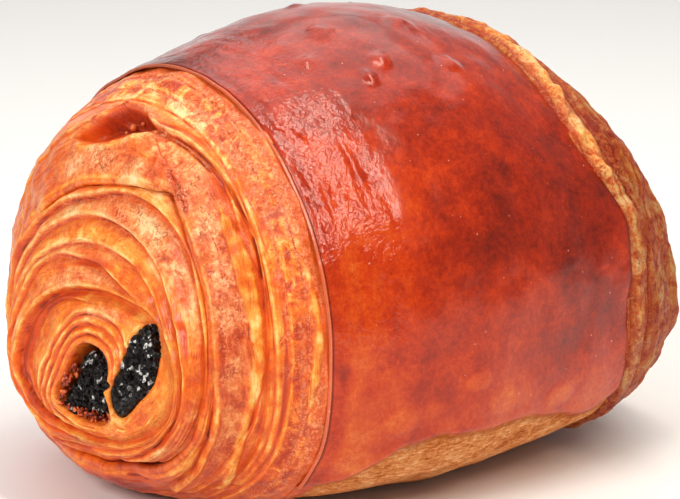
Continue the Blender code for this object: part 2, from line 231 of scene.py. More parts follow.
# Broad swellings and hollows of the outline: degrees, along, reach in each, and millimetres
SWELLS = ((335, .32, 35, .10, -1.1), (15, .37, 20, .05, -.5), (278, .385, 18, .06, 1.0),
          (168, .785, 26, .045, -.9), (222, .725, 28, .045, -1.2), (262, .77, 38, .07, -3.0),
          (262, .285, 18, .030, -1.7), (146, .757, 14, .025, 1.1), (96, .715, 16, .025, -.5))

# How strongly the ridge beside the glaze stands out on the far side: (degrees, share)
RIDGE = ((0, .4), (60, .4), (95, .3), (108, .7), (120, 1.1), (135, 1.1), (150, 1.2), (157, .7),
         (163, .35), (175, .30), (200, .25), (230, .1), (270, .1), (300, .3))

# The two openings of the far swirl, in the same form as those of the near one
FAR_LEFT_AT = (-1.0, 18.6)
FAR_LEFT = ((0, 3.4), (45, 4.2), (90, 5.4), (135, 4.0), (180, 3.1), (225, 4.1), (270, 5.4),
            (315, 4.4))
FAR_RIGHT_AT = (-8.3, 20.6)
FAR_RIGHT = ((0, 3.0), (45, 3.9), (90, 6.0), (135, 4.1), (180, 3.2), (225, 3.7), (270, 5.5),
             (315, 4.0))
FAR_OPENING_DEPTH = 3.0

# Blisters on the top of the glaze: x, y, radius and height
BLISTERS = ((-8.1, -8.2, 1.6, .5), (-6.1, -17.0, 1.3, .5), (-9.3, -18.6, 1.1, .4),
            (3.6, -19.7, 1.5, .4), (3.4, -10.6, 1.8, .5), (-14.0, -12.0, 1.2, .3),
            (10.0, 6.0, 1.6, .4), (-10.0, 14.0, 1.5, .4), (-2.0, 4.0, 1.2, .3))

# Paler parts of the glaze, as patches, then small pale ovals and dark spots: (x, y, z, size)
# The third pale patch partly paints the floor's reflection at the lower right, and the first two
# dark spots darken the top, partly as painted shade.
GLAZE_PALE = ((205, .525, 18, .030, .5), (200, .60, 14, .05, .5), (196, .665, 18, .035, .35),
              (175, .515, 30, .010, .3), (30, .60, 30, .05, .4), (110, .56, 16, .03, .2))
GLAZE_OVALS = ((-17.9, -33.4, 14.4, 2.2), (-2.2, -36, 14.4, 2.4), (8.4, -35.7, 12.9, 2.0),
               (-23.1, -30.1, 9.9, 2.4), (-7, -36.2, 18.1, 1.6), (16, 34, 16, 2.4),
               (2, 35, 12, 2.0), (-12, 33, 13, 2.6))
GLAZE_SPOTS = ((-20, 18, 52, 12), (-2, 18, 56, 12), (14, -30, 40, 12), (1.7, -31.6, 42.6, 1.5),
               (-25.8, -31.6, 21.8, 1.2), (-14, -31, 35, 1.0), (10, -36, 30, 3.5),
               (-4, -35, 34, 4.0), (-3, -8, 59, 2.5), (12, 30, 40, 3.0), (-10, 28, 44, 2.0),
               (14, -8, 57, 6), (9, -36, 19, 5))

# How high above the floor the glaze ends: (x, height)
GLAZE_ENDS = ((-27, 6.2), (-23, 6.8), (-19, 9.4), (-17, 10.7), (-12, 11.4), (-7, 11), (0, 11),
              (9, 9.9), (16, 8.2), (22, 10.6))

# The bare end of the left stick, which is smaller than its opening: (degrees, millimetres)
LEFT_STICK = ((8, 2.7), (30, 2.7), (49, 3.1), (79, 4.1), (96, 4.9), (131, 4.5), (150, 4.1),
              (170, 3.6), (190, 3.6), (205, 4.6), (220, 4.1), (250, 3.5), (275, 4.6), (306, 5.2),
              (324, 5.1), (344, 3.8))
# The sticks: name, node, near centre and outline, far centre and outline, slope of the near end
# by y and z, and how rough it is
STICKS = (("dark_stick_right", "chocolate_stick_1", (-42.9, -12.6, 20.6), RIGHT_OPENING,
           (42.6, -8.3, 20.6), FAR_RIGHT, (-0.22, 0.22), 0.10),
          ("dark_stick_left", "chocolate_stick_2", (-42.9, -3.9, 17.5), LEFT_STICK,
           (43.0, -1.0, 18.6), FAR_LEFT, (-0.12, 0.15), 0.45))
STICK_GAP = 0.35
CRUMBS = 240

# The camera looks at the near end and one side from a little above, as the photograph does.
CAMERA_AZIMUTH = math.radians(-42.3)
CAMERA_ELEVATION = math.radians(14)
CAMERA_DISTANCE = 350
CAMERA_LENS = 137.7
CAMERA_SHIFT_RIGHT = 1.9
CAMERA_SHIFT_UP = -1.96
AIM_HEIGHT = 29

# The lamps: name, direction, direction of their length, then distance, width and length in
# metres, power and colour
LAMPS = (
    ("strip", (0.03, -0.45, 0.89), (-0.11, -0.86, -0.51), 0.50, 0.06, 0.55, 1.85,
     (1.0, 0.92, 0.79)),
    ("back_top", (0.32, 0.30, 0.90), (0, 1, 0), 0.60, 0.60, 0.60, 1.6, (1.0, 0.97, 0.95)),
    ("overhead", (-0.28, 0.25, 0.93), (0, 1, 0), 0.60, 0.30, 0.30, 0.25, (1.0, 0.98, 0.98)),
    ("front_left", (-0.84, -0.14, 0.54), (0, 0, 1), 0.55, 0.22, 0.22, 1.70, (1.0, 0.98, 0.94)),
    ("back_panel", (0.63, 0.75, 0.14), (0, 0, 1), 1.30, 1.80, 0.70, 2.6, (1.0, 0.98, 0.96)),
)
LIGHTS_AIM = Vector((0, 0, 0.03))
WORLD_LIGHT = 0.29
FLOOR_COLOUR = (0.90, 0.90, 0.895, 1.0)

# Sizes of the meshes: rings along each piece and points round it.
AROUND = 430
CORE_RINGS = 215
TURN_RINGS = 200
WRAP_RINGS = 200
FAR_RINGS = 215
INNER_ROWS = 6
STICK_AROUND = 200

# The points round each piece lie closer together on the side that shows most detail.
FINER_SIDE = math.radians(150)
FINER_BY = 0.38

# A sheet's cut edge rises over this, with a furrow and a painted shadow line at its foot and a pale
# lip.
# The places are millimetres before the edge, or after it for the lip.
LIP_EDGE = 0.32
FURROW_AT = 0.20
FOOT_AT = 0.12
FOOT_LINE = 0.15
PALE_LIP_AT = 0.34
PALE_LIP = 0.22

# How many millimetres of fine layers lie along the whole roll, for the near and the far end
LAYERS_ALONG = 95
FAR_LAYERS_ALONG = 110
FAR_LAYERS_FROM = 0.68

GRADIENTS = np.array(((1, 1, 0), (-1, 1, 0), (1, -1, 0), (-1, -1, 0), (1, 0, 1), (-1, 0, 1),
                      (1, 0, -1), (-1, 0, -1), (0, 1, 1), (0, -1, 1), (0, 1, -1), (0, -1, -1)))


def smooth_curve(t, gap, start, start_slope, end, end_slope):
    """A curve between two values with the given slopes, at a share t of the gap."""
    first = (1 + 2 * t) * (1 - t) ** 2 * start + t * (1 - t) ** 2 * gap * start_slope
    last = t * t * (3 - 2 * t) * end + t * t * (t - 1) * gap * end_slope
    return first + last


def smooth_rows(rows, at):
    """Smooth values between the rows of a table whose first column is the place along."""
    places = rows[:, 0]
    values = rows[:, 1:]
    gaps = np.diff(places)
    slopes = np.diff(values, axis=0) / gaps[:, None]
    before = slopes[:-1]
    after = slopes[1:]
    same_way = before * after > 0
    heavy = (2 * gaps[1:] + gaps[:-1])[:, None]
    light = (gaps[1:] + 2 * gaps[:-1])[:, None]
    safe_before = np.where(same_way, before, 1.0)
    safe_after = np.where(same_way, after, 1.0)
    mean = (heavy + light) / (heavy / safe_before + light / safe_after)
    tangents = np.vstack((slopes[:1], np.where(same_way, mean, 0.0), slopes[-1:]))
    k = np.clip(np.searchsorted(places, at) - 1, 0, len(places) - 2)
    t = ((at - places[k]) / gaps[k])[..., None]
    gap = gaps[k][..., None]
    return smooth_curve(t, gap, values[k], tangents[k], values[k + 1], tangents[k + 1])


def roll_surface(along, turn):
    """Points of the smooth roll at places along it and angles round it, in radians."""
    rows = smooth_rows(SECTIONS, along)
    x, y, z, half, rise, drop, yaw, lean, above, below = np.moveaxis(rows, -1, 0)
    c = np.cos(turn)
    s = np.sin(turn)
    power = 2 / np.where(s >= 0, above, below)
    across = half * np.sign(c) * np.abs(c) ** power
    up = np.where(s >= 0, rise, drop) * np.sign(s) * np.abs(s) ** power
    return np.stack((x + yaw * across + lean * up, y + across, z + up), -1)


def smooth_step(value):
    """0 below -1, 1 above 1 and a smooth rise between."""
    t = np.clip(0.5 + 0.5 * value, 0, 1)
    return t * t * (3 - 2 * t)


def bump(value):
    """1 at 0 and a smooth fall to 0 on each side."""
    return np.exp(-value * value)


def ring_line(points, turn):
    """A smooth closed line through points of (degrees round, value)."""
    places = np.array(points, float)
    places = places[np.argsort(places[:, 0])]
    angles = np.radians(places[:, 0])
    values = places[:, 1]
    count = len(values)
    wound = np.concatenate((angles - 2 * math.pi, angles, angles + 2 * math.pi))
    looped = np.tile(values, 3)
    inner = np.arange(1, 3 * count - 1)
    slope = (looped[inner + 1] - looped[inner - 1]) / (wound[inner + 1] - wound[inner - 1])
    slopes = np.concatenate((slope[:1], slope, slope[-1:]))
    k = np.clip(np.searchsorted(wound, turn) - 1, 1, 3 * count - 3)
    gap = wound[k + 1] - wound[k]
    t = (turn - wound[k]) / gap
    return smooth_curve(t, gap, looped[k], slopes[k], looped[k + 1], slopes[k + 1])


def line_and_strength(points, turn):
    """A line's place along and its strength at each turn."""
    table = np.array(points, float)
    return ring_line(table[:, :2], turn), np.clip(ring_line(table[:, (0, 2)], turn), 0, 2)


def noise(points, seed):
    """Smooth noise of about -1 to 1, the same each run."""
    table = np.random.default_rng(seed).permutation(256)
    corner = np.floor(points).astype(int)
    part = points - corner
    fade = part ** 3 * (part * (part * 6 - 15) + 10)
    total = np.zeros(points.shape[:-1])
    for dx in (0, 1):
        hash_x = table[(corner[..., 0] + dx) & 255]
        share_x = fade[..., 0] if dx else 1 - fade[..., 0]
        for dy in (0, 1):
            hash_y = table[(hash_x + corner[..., 1] + dy) & 255]
            share_y = share_x * (fade[..., 1] if dy else 1 - fade[..., 1])
            for dz in (0, 1):
                hash_z = table[(hash_y + corner[..., 2] + dz) & 255]
                share = share_y * (fade[..., 2] if dz else 1 - fade[..., 2])
                way = GRADIENTS[hash_z % 12]
                total += share * ((part - (dx, dy, dz)) * way).sum(-1)
    return total


def places_round():
    """Angles round the roll for the points of a ring."""
    even = np.arange(AROUND) * 2 * math.pi / AROUND
    return even - FINER_BY * np.sin(even - FINER_SIDE)


def layered_noise(points, seed, octaves=3):
    """Noise with finer and weaker noise added."""
    total = 0
    for k in range(octaves):
        total = total + noise(points * 2 ** k, seed + k) / 2 ** k
    return total


def opening_distance(points, centre, outline):
    """Signed distance in the Y-Z plane from an opening's outline, negative inside it."""
    angles = np.radians(np.arange(0, 360, 2))
    reach = ring_line(outline, angles)
    edge = np.stack((centre[0] + reach * np.cos(angles), centre[1] + reach * np.sin(angles)), -1)
    after = np.roll(edge, -1, axis=0)
    flat = points[..., 1:].reshape(-1, 2)
    best = np.full(len(flat), 1e9)
    for a, b in zip(edge, after):
        side = b - a
        t = np.clip(((flat - a) @ side) / (side @ side), 0, 1)
        best = np.minimum(best, np.linalg.norm(flat - a - t[:, None] * side, axis=1))
    offset = flat - centre
    radius = np.hypot(offset[:, 0], offset[:, 1])
    angle = np.arctan2(offset[:, 1], offset[:, 0]) % (2 * math.pi)
    inside = radius < ring_line(outline, angle)
    return np.where(inside, -best, best).reshape(points.shape[:-1])


def unit(vectors):
    """Vectors of length 1 in the same directions."""
    return vectors / np.maximum(np.linalg.norm(vectors, axis=-1, keepdims=True), 1e-9)


class Skin:
    """A stretch of the roll's surface: its places, its smooth points and what is built on them."""

    def __init__(self, along, turn):
        turn = np.broadcast_to(turn, along.shape).copy()
        self.along = along
        self.turn = turn
        self.degrees = np.degrees(turn)
        self.points = roll_surface(along, turn)
        by_turn = roll_surface(along, turn + STEP) - roll_surface(along, turn - STEP)
        by_along = roll_surface(along + STEP, turn) - roll_surface(along - STEP, turn)
        self.stretch = np.linalg.norm(by_along, axis=-1) / (2 * STEP)
        self.girth = np.linalg.norm(by_turn, axis=-1) / (2 * STEP)
        self.onward = unit(by_along)
        self.outward = unit(np.cross(by_turn, by_along))
        fields = np.zeros((6,) + along.shape)
        self.height, self.tone, self.dark, self.skin, self.crackle, self.coarse = fields
        self.layer = self.path_length()

    def path_length(self):
        """Distance along the surface from the first ring, which the fine layers follow."""
        steps = np.linalg.norm(np.diff(self.points, axis=0), axis=-1)
        return np.concatenate((0 * self.along[:1], np.cumsum(steps, axis=0)))

    def darken(self, amount):
        """Makes the surface at least this dark."""
        self.dark = np.maximum(self.dark, amount)

    def past(self, line):
        """Distance in millimetres past a line round the roll."""
        return (self.along - line) * self.stretch

    def reach(self, degree, place, half_degrees, half_along):
        """Distance from a place, where 1 is the edge of an oval of the given half sizes."""
        across = (self.degrees - degree + 180) % 360 - 180
        return np.hypot(across / half_degrees, (self.along - place) / half_along)

    def patches(self, table, wobble):
        """How much of a set of soft, uneven ovals lies at each place."""
        total = np.zeros_like(self.along)
        for *oval, amount in table:
            total = np.maximum(total, amount * smooth_step((1 - self.reach(*oval)) * 1.6 + wobble))
        return total

    def add_edge(self, distance, strength, height, furrow, half_width, length):
        """An edge of a sheet: a furrow at its foot, a rounded lip and a slow fade."""
        rise = height * smooth_step(distance / LIP_EDGE)
        rise *= np.exp(-np.maximum(distance, 0) / length)
        inner = np.exp(np.minimum(distance + FURROW_AT, 0) / (1.6 * half_width))
        groove = np.where(distance < -FURROW_AT, inner, bump((distance + FURROW_AT) / LIP_EDGE))
        self.height += strength * (rise - furrow * groove)
        share = np.clip(strength, 0, 1)
        uneven = 0.75 + 0.8 * noise(self.points / 1.9, 3)
        foot = np.clip(uneven, 0, 1) * bump((distance + FOOT_AT) / FOOT_LINE)
        # Painted shade in the furrow, and a painted shadow line at its foot.
        self.darken(share * np.maximum(0.48 * groove, foot))
        self.tone += 0.46 * share * uneven * bump((distance - PALE_LIP_AT) / PALE_LIP)

    def add_edges(self, edges, lines):
        """Adds edges that are given as lines, and bends the fine layers to run beside them all."""
        for points, *shape in edges:
            line, strength = line_and_strength(points, self.turn[0])
            self.add_edge(self.past(line), strength, *shape)
            lines.append((line, float(np.mean(line)) * LAYERS_ALONG))
        self.follow(lines)

    def follow(self, lines):
        """Bends the fine layers along lines, each given with the layer that it follows."""
        lines = sorted(lines, key=lambda line: line[1])
        knots = np.stack([line + 0 * self.turn[0] for line, _ in lines])
        knots = np.maximum.accumulate(knots + 1e-4 * np.arange(len(knots))[:, None], axis=0)
        layers = [layer for _, layer in lines]
        for j in range(self.along.shape[1]):
            self.layer[:, j] = np.interp(self.along[:, j], knots[:, j], layers)

    def distance_to(self, points):
        """Distance in millimetres from a line through points of (degrees, along)."""
        best = np.full_like(self.along, 1e9)
        for (first_turn, first), (next_turn, after) in zip(points[:-1], points[1:]):
            start_across = (math.radians(first_turn) - self.turn) * self.girth
            start_up = (first - self.along) * self.stretch
            side_across = math.radians(next_turn - first_turn) * self.girth
            side_up = (after - first) * self.stretch
            length = side_across ** 2 + side_up ** 2
            t = np.clip(-(start_across * side_across + start_up * side_up) / length, 0, 1)
            best = np.minimum(best, np.hypot(start_across + t * side_across,
                                             start_up + t * side_up))
        return best

    def lumps(self, seed, size, amount):
        """Soft unevenness of the baked surface."""
        return amount * layered_noise(self.points / size, seed)

    def moved(self, lowest=0.0):
        """The surface's points with its relief, none of them below a height."""
        points = self.points + self.outward * self.height[..., None]
        points[..., 2] = np.maximum(points[..., 2], lowest)
        return points

    def values(self):
        """What the dough's material reads at each point."""
        return {"tone": self.tone, "dark": self.dark, "skin": self.skin,
                "crackle": self.crackle, "coarse": self.coarse,
                "grain": round_roll(self.layer, self.turn, 20.0)}


def round_roll(layer, turn, radius):
    """Places in the fine layers that go once round, so that noise there has no seam."""
    return np.stack((layer, radius * np.cos(turn), radius * np.sin(turn)), -1)


def ring_noise(turn, radius, level, seed):
    """Noise round one ring of the roll, without a seam."""
    ring = np.stack((radius * np.cos(turn), radius * np.sin(turn), 0 * turn + level), -1)
    return noise(ring, seed)


def fine_layers(skin, seed, spacing, around, amount):
    """Thin ridges of lamination that run round the roll."""
    here = round_roll(skin.layer / spacing, skin.turn, around)
    ridges = amount * (0.4 - 2.2 * np.abs(layered_noise(here, seed, 2)))
    skin.height += ridges
    skin.tone += 0.9 * ridges


def minor_edges(skin, seed, spacing, amount):
    """Thin broken edges of lamination, which run beside the main ones and come and go."""
    drift = 0.35 * noise(round_roll(skin.layer / (3 * spacing), skin.turn, 2.2), seed)
    cell = skin.layer / spacing + drift
    number = np.floor(cell)
    distance = (cell - number - 0.5) * spacing
    shown = 2.2 * noise(round_roll(number * 5.37, skin.turn, 3.5), seed + 1) + 0.25
    fade = np.clip(shown, 0, 1) * amount
    width = 0.16 * spacing
    rise = smooth_step(distance / (0.12 * spacing)) * np.exp(-np.maximum(distance, 0) / spacing)
    groove = np.exp(-np.abs(distance + 0.5 * width) / width)
    skin.height += fade * spacing * (0.20 * rise - 0.16 * groove)
    # Painted shade in the thin grooves.
    skin.darken(0.70 * fade * groove ** 1.5)
    skin.tone += 0.22 * fade * bump((distance - 0.15 * spacing) / (0.13 * spacing))


def swell(skin):
    """Broad unevenness that the photograph shows in the outline."""
    for *oval, amount in SWELLS:
        skin.height += amount * bump(skin.reach(*oval))


def near_patches(skin, seed):
    """The near end's patches of smooth skin, pale and dark dough, some of the dark painted shade.
    Returns their unevenness.
    """
    wobble = 0.5 * layered_noise(skin.points / 2.5, seed)
    skin.skin = skin.patches(SKIN_PATCHES, wobble)
    skin.tone += 0.38 * skin.patches(PALE_PATCHES, wobble)
    # Dark patches: darker baked dough, and in some of them painted shade.
    skin.darken(0.85 * skin.patches(DARK_AND_SHADED_PATCHES, wobble))
    return wobble


def grid_faces(rows, columns, closed):
    """Faces of a grid that goes round, closed along or with a fan to a tip at each end."""
    count = rows if closed else rows - 1
    i, j = np.meshgrid(np.arange(count), np.arange(columns), indexing="ij")
    k = (j + 1) % columns
    n = (i + 1) % rows
    faces = np.stack((i * columns + k, i * columns + j, n * columns + j, n * columns + k), -1)
    faces = faces.reshape(-1, 4).tolist()
    if not closed:
        tip = rows * columns
        last = tip - columns
        for j in range(columns):
            k = (j + 1) % columns
            faces += [(tip, j, k), (tip + 1, last + k, last + j)]
    return faces


def add_piece(name, points, faces, fields, finish, slot="laminated_dough", node="pastry"):
    """An object of the part, from points in the roll's axes and its fields at each point."""
    mesh = bpy.data.meshes.new(name)
    mesh.from_pydata(((np.array(points) + (*MIDDLE, 0)) * MM).tolist(), [], faces)
    for label, value in fields.items():
        kind, key = ("FLOAT_VECTOR", "vector") if value.shape[1] == 3 else ("FLOAT", "value")
        field = mesh.attributes.new(label, kind, "POINT")
        field.data.foreach_set(key, value.astype(np.float32).ravel())
    mesh.shade_smooth()
    mesh.materials.append(MATERIALS[finish])
    piece = bpy.data.objects.new(name, mesh)
    bpy.context.collection.objects.link(piece)
    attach(piece, "root")
    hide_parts(node)


def make_piece(name, rings, tips, values, finish, *slot_and_node):
    """A piece through rings of points, shut by a point at each end or closed on itself."""
    rows, columns = rings.shape[:2]
    points = rings.reshape(-1, 3)
    fields = {label: value.reshape(len(points), -1) for label, value in values.items()}
    if tips is not None:
        points = np.vstack((points, tips))
        fields = {label: np.vstack((flat, flat[:1], flat[-1:])) for label, flat in fields.items()}
    faces = grid_faces(rows, columns, tips is None)
    add_piece(name, points, faces, fields, finish, *slot_and_node)


def sink_opening(skin, moved, distance, depth):
    """Sinks an opening of a swirl into the roll and paints shade inside it."""
    moved[..., 0] += depth * smooth_step(-distance / OPENING_WALL - 1)
    skin.darken(smooth_step(-distance / 0.5 - 1))


def build_core():
    """The near swirl, from its tip to under the outer turn, with its two openings."""
    turn = places_round()
    turn_line, turn_strength = line_and_strength(TURN_EDGE, turn)
    share = np.linspace(0, 1, CORE_RINGS)[:, None]
    along = CORE_START + (turn_line + CORE_UNDER_TURN - CORE_START) * share
    skin = Skin(along, turn)
    skin.add_edges(NEAR_EDGES, [(0.0, 0.0), (turn_line + 0.04, 36.0)])
    left = opening_distance(skin.points, LEFT_OPENING_AT, LEFT_OPENING)
    right = opening_distance(skin.points, RIGHT_OPENING_AT, RIGHT_OPENING)
    nearest = np.minimum(left, right)
    eye = smooth_step((0.150 - along) / 0.03)
    _, y, z = np.moveaxis(skin.points, -1, 0)
    above = smooth_step((z - 20) / 2) * smooth_step((y - RIGHT_OPENING_AT[0]) / 1.2)
    skin.layer = skin.layer * (1 - eye) + eye * (nearest + (left - nearest) * above)
    facing_left = eye * np.maximum(smooth_step((np.cos(skin.turn) - 0.25) / 0.3), 0.8 * above)
    uneven = 0.25 * noise(skin.points / 2.5, 5)
    for place, height in EYE_EDGES:
        skin.add_edge(left - place + uneven, facing_left, height, 0.30, 0.20, 1.2)
    rim = bump((left - 0.5) / 0.35) + bump((right - 0.45) / 0.35)
    skin.height += 0.28 * eye * rim
    skin.tone += 0.16 * eye * rim
    under_turn = skin.past(turn_line)
    skin.height -= 1.1 * turn_strength * smooth_step((under_turn + 0.9) / 0.8)
    # Painted shade where the outer turn lies over the swirl.
    skin.darken(smooth_step((under_turn + 0.55) / 0.4))
    wobble = near_patches(skin, 11)
    skin.crackle = skin.patches(CRACKLE_PATCHES, wobble)
    flap_line, flap_strength = line_and_strength(FLAP_EDGE, turn)
    beyond = skin.past(flap_line)
    hollow = smooth_step(beyond / 0.8) * np.exp(-np.maximum(beyond, 0) / 6)
    skin.height -= 1.5 * flap_strength * hollow
    # Painted shade in the hollow where the sheet turns under.
    skin.darken(flap_strength * bump((beyond - 1.0) / 1.6))
    calm = 1 - 0.6 * skin.skin
    fine_layers(skin, 21, 1.4, 4.0, 0.035 * calm)
    bottom = smooth_step((-np.sin(skin.turn) - 0.35) / 0.3)
    minor_edges(skin, 51, 0.9, calm * (0.30 + 0.50 * bottom))
    skin.height += 0.05 * skin.skin * layered_noise(skin.points / 0.75, 44)
    skin.height += skin.lumps(41, 5.0, 0.35) * smooth_step((along - 0.1) / 0.06)
    swell(skin)
    moved = skin.moved()
    sink_opening(skin, moved, left, LEFT_OPENING_DEPTH)
    sink_opening(skin, moved, right, RIGHT_OPENING_DEPTH)
    tips = (moved[0].mean(0), moved[-1].mean(0) + (4.0, 0, 0))
    make_piece("near_swirl", moved, tips, skin.values(), "dough")


def closed_sheet(name, near_line, far_line, outer_rows, closer, relief, thickness, depth, finish):
    """A sheet wrapped round the roll: an outside with relief, rounded edges and a hidden inside."""
    even = np.linspace(0, 1, outer_rows)[:, None]
    spread = even - closer * np.sin(2 * math.pi * even) / (2 * math.pi)
    skin = Skin(near_line + (far_line - near_line) * spread, places_round())
    relief(skin)
    edges = []
    angle = np.linspace(0, math.pi, 7)[1:, None, None]
    for row, way in ((-1, 1.0), (0, -1.0)):
        edge = Skin(skin.along[row][None], skin.turn[row])
        height = skin.height[row][:, None] - thickness / 2 * (1 - np.cos(angle))
        bulge = way * 0.45 * thickness * np.sin(angle)
        edges.append(edge.points + edge.outward * height + edge.onward * bulge)
    back = np.linspace(0, 1, INNER_ROWS + 2)[1:-1, None]
    hidden = Skin(far_line + (near_line - far_line) * back, places_round())
    top = (skin.height[0] + skin.height[-1]) / 2
    hidden.height = top - thickness - 0.1 - depth * np.sin(math.pi * back)
    rings = np.concatenate((skin.moved(), edges[0], hidden.moved(1.0), edges[1][::-1]))
    rings[..., 2] = np.maximum(rings[..., 2], 0)
    values = {}
    for label, value in skin.values().items():
        rest = np.repeat(value[-1:], len(edges[0]) + INNER_ROWS, axis=0)
        start = np.repeat(value[:1], len(edges[1]), axis=0)
        values[label] = np.concatenate((value, rest, start))
    make_piece(name, rings, None, values, finish)


def straight_line(points, at):
    """Values on straight lines between points of (place, value)."""
    return np.interp(at, *np.transpose(points))


def open_pocket(skin):
    """Sinks the torn air pocket into the outer turn, with painted shade inside it, darkest under
    its roof.
    """
    low = straight_line(POCKET_LOW, skin.degrees)
    top = straight_line(POCKET_TOP, skin.degrees)
    above_low = skin.past(low)
    below_top = 0.15 * noise(skin.points / 2.2, 61) - skin.past(top)
    inside = np.minimum(above_low / 1.2, below_top)
    share = np.clip((skin.along - low) / np.maximum(top - low, 0.008), 0, 1)
    depth = POCKET_DEPTHS[0] + (POCKET_DEPTHS[1] - POCKET_DEPTHS[0]) * share
    skin.height -= depth * smooth_step((inside - 0.50) / 0.55)
    skin.hole = smooth_step((inside - 0.10) / 0.25)
    shade = 0.22 + 0.24 * smooth_step((skin.degrees - 74) / 7)
    roof = smooth_step((share - 0.35) / 0.35) * smooth_step((skin.degrees - 72) / 8)
    skin.darken(skin.hole * (shade + 0.32 * roof))
    skin.height += 0.35 * bump((below_top + 0.30) / 0.28) * smooth_step((above_low - 1) / 1)
    skin.tone += 0.25 * bump((above_low + 0.5) / 0.5) * smooth_step((below_top - 1.5) / 1)


def raise_ribbon(skin, near_side, far_side, height, paleness):
    """Raises a narrow smooth fold between two lines, with a soft shadow along its far side."""
    low = straight_line(near_side, skin.degrees)
    high = straight_line(far_side, skin.degrees)
    wave = 0.25 * noise(skin.points / 2.2, 67)
    inside = np.minimum(skin.along - low, high - skin.along) * skin.stretch + wave
    start, end = near_side[0][0], near_side[-1][0]
    ends = smooth_step((skin.degrees - start) / 2 - 1) * smooth_step((end - skin.degrees) / 2 - 1)
    share = ends * smooth_step(inside / 0.25)
    skin.height += height * share
    skin.tone = skin.tone * (1 - share) + share * (paleness + 0.3 * noise(skin.points / 1.5, 68))
    skin.skin *= 1 - share
    skin.crackle *= 1 - 0.8 * share
    skin.dark *= 1 - share
    skin.darken(0.5 * ends * bump((skin.past(high) - 0.3) / 0.25))


def turn_relief(skin):
    """Relief and colours of the outer turn of the near end."""
    turn_line, turn_strength = line_and_strength(TURN_EDGE, skin.turn[0])
    distance = skin.past(turn_line)
    skin.height += 0.75 * turn_strength * np.exp(-distance / 6.0) - 0.20 * bump(distance / 0.35)
    skin.tone += 0.25 * bump((distance - 0.35) / 0.3)
    # Painted shade: the outer turn is made darker down its front side and towards the underside.
    skin.tone -= 0.10 * smooth_step((skin.degrees - 112) / 15)
    skin.tone -= 0.05 * smooth_step((skin.degrees - 175) / 15)
    skin.add_edges(TURN_EDGES, [(turn_line, 30.0), (TURN_END, TURN_END * LAYERS_ALONG)])
    open_pocket(skin)
    near_patches(skin, 12)
    skin.crackle = skin.patches(CRACKLE_PATCHES, skin.lumps(13, 2.0, 0.8))
    under_wrap = -skin.past(WRAP_NEAR)
    # Painted shade where the outer turn goes under the glazed wrap.
    skin.darken(0.7 * bump(under_wrap / 0.2))
    skin.darken(0.45 * bump(under_wrap - 1.0))
    broken = np.clip(0.75 + 1.2 * noise(skin.points / 2.4, 66), 0, 1)
    # The darkness is partly dark crust and partly painted shade in the tears and cracks.
    for points, half_width, depth, darkness, paleness in STROKES:
        near = broken * bump(skin.distance_to(points) / half_width)
        skin.height -= depth * near
        skin.dark *= 1 - min(1, 3 * paleness) * near
        skin.darken(darkness * near)
        skin.tone += paleness * near
    skin.crackle *= 1 - skin.hole
    skin.skin *= 1 - skin.hole
    ragged = 1 - 2 * np.abs(noise(skin.points / 0.6, 65))
    for degree, place, radius, relief, darkness in TORN_SPOTS:
        near = bump(skin.distance_to(((degree, place), (degree + .1, place))) / radius)
        near *= 1 - skin.hole
        skin.height += relief * near * ragged
        skin.darken(darkness * near)
        skin.skin = np.maximum(skin.skin, near)
    calm = (1 - 0.6 * skin.skin) * (1 - skin.hole)
    fine_layers(skin, 22, 1.8, 4.0, 0.035 * calm)
    minor_edges(skin, 53, 1.3, 0.45 * calm * (1 - 0.7 * skin.crackle))
    leathery = np.maximum(skin.skin, skin.crackle)
    skin.height += leathery * skin.lumps(45, 0.75, 0.06)
    for ribbon in RIBBONS:
        raise_ribbon(skin, *ribbon)
    skin.height += skin.lumps(42, 5.0, 0.45)
    skin.height *= smooth_step(under_wrap + 1.0)
    swell(skin)


def build_turn():
    """The outer turn of the near end, from its free edge to under the glazed wrap."""
    near_line, _ = line_and_strength(TURN_EDGE, places_round())
    closed_sheet("near_turn", near_line, TURN_END, TURN_RINGS, 0.0, turn_relief, 1.3, 4.5, "dough")


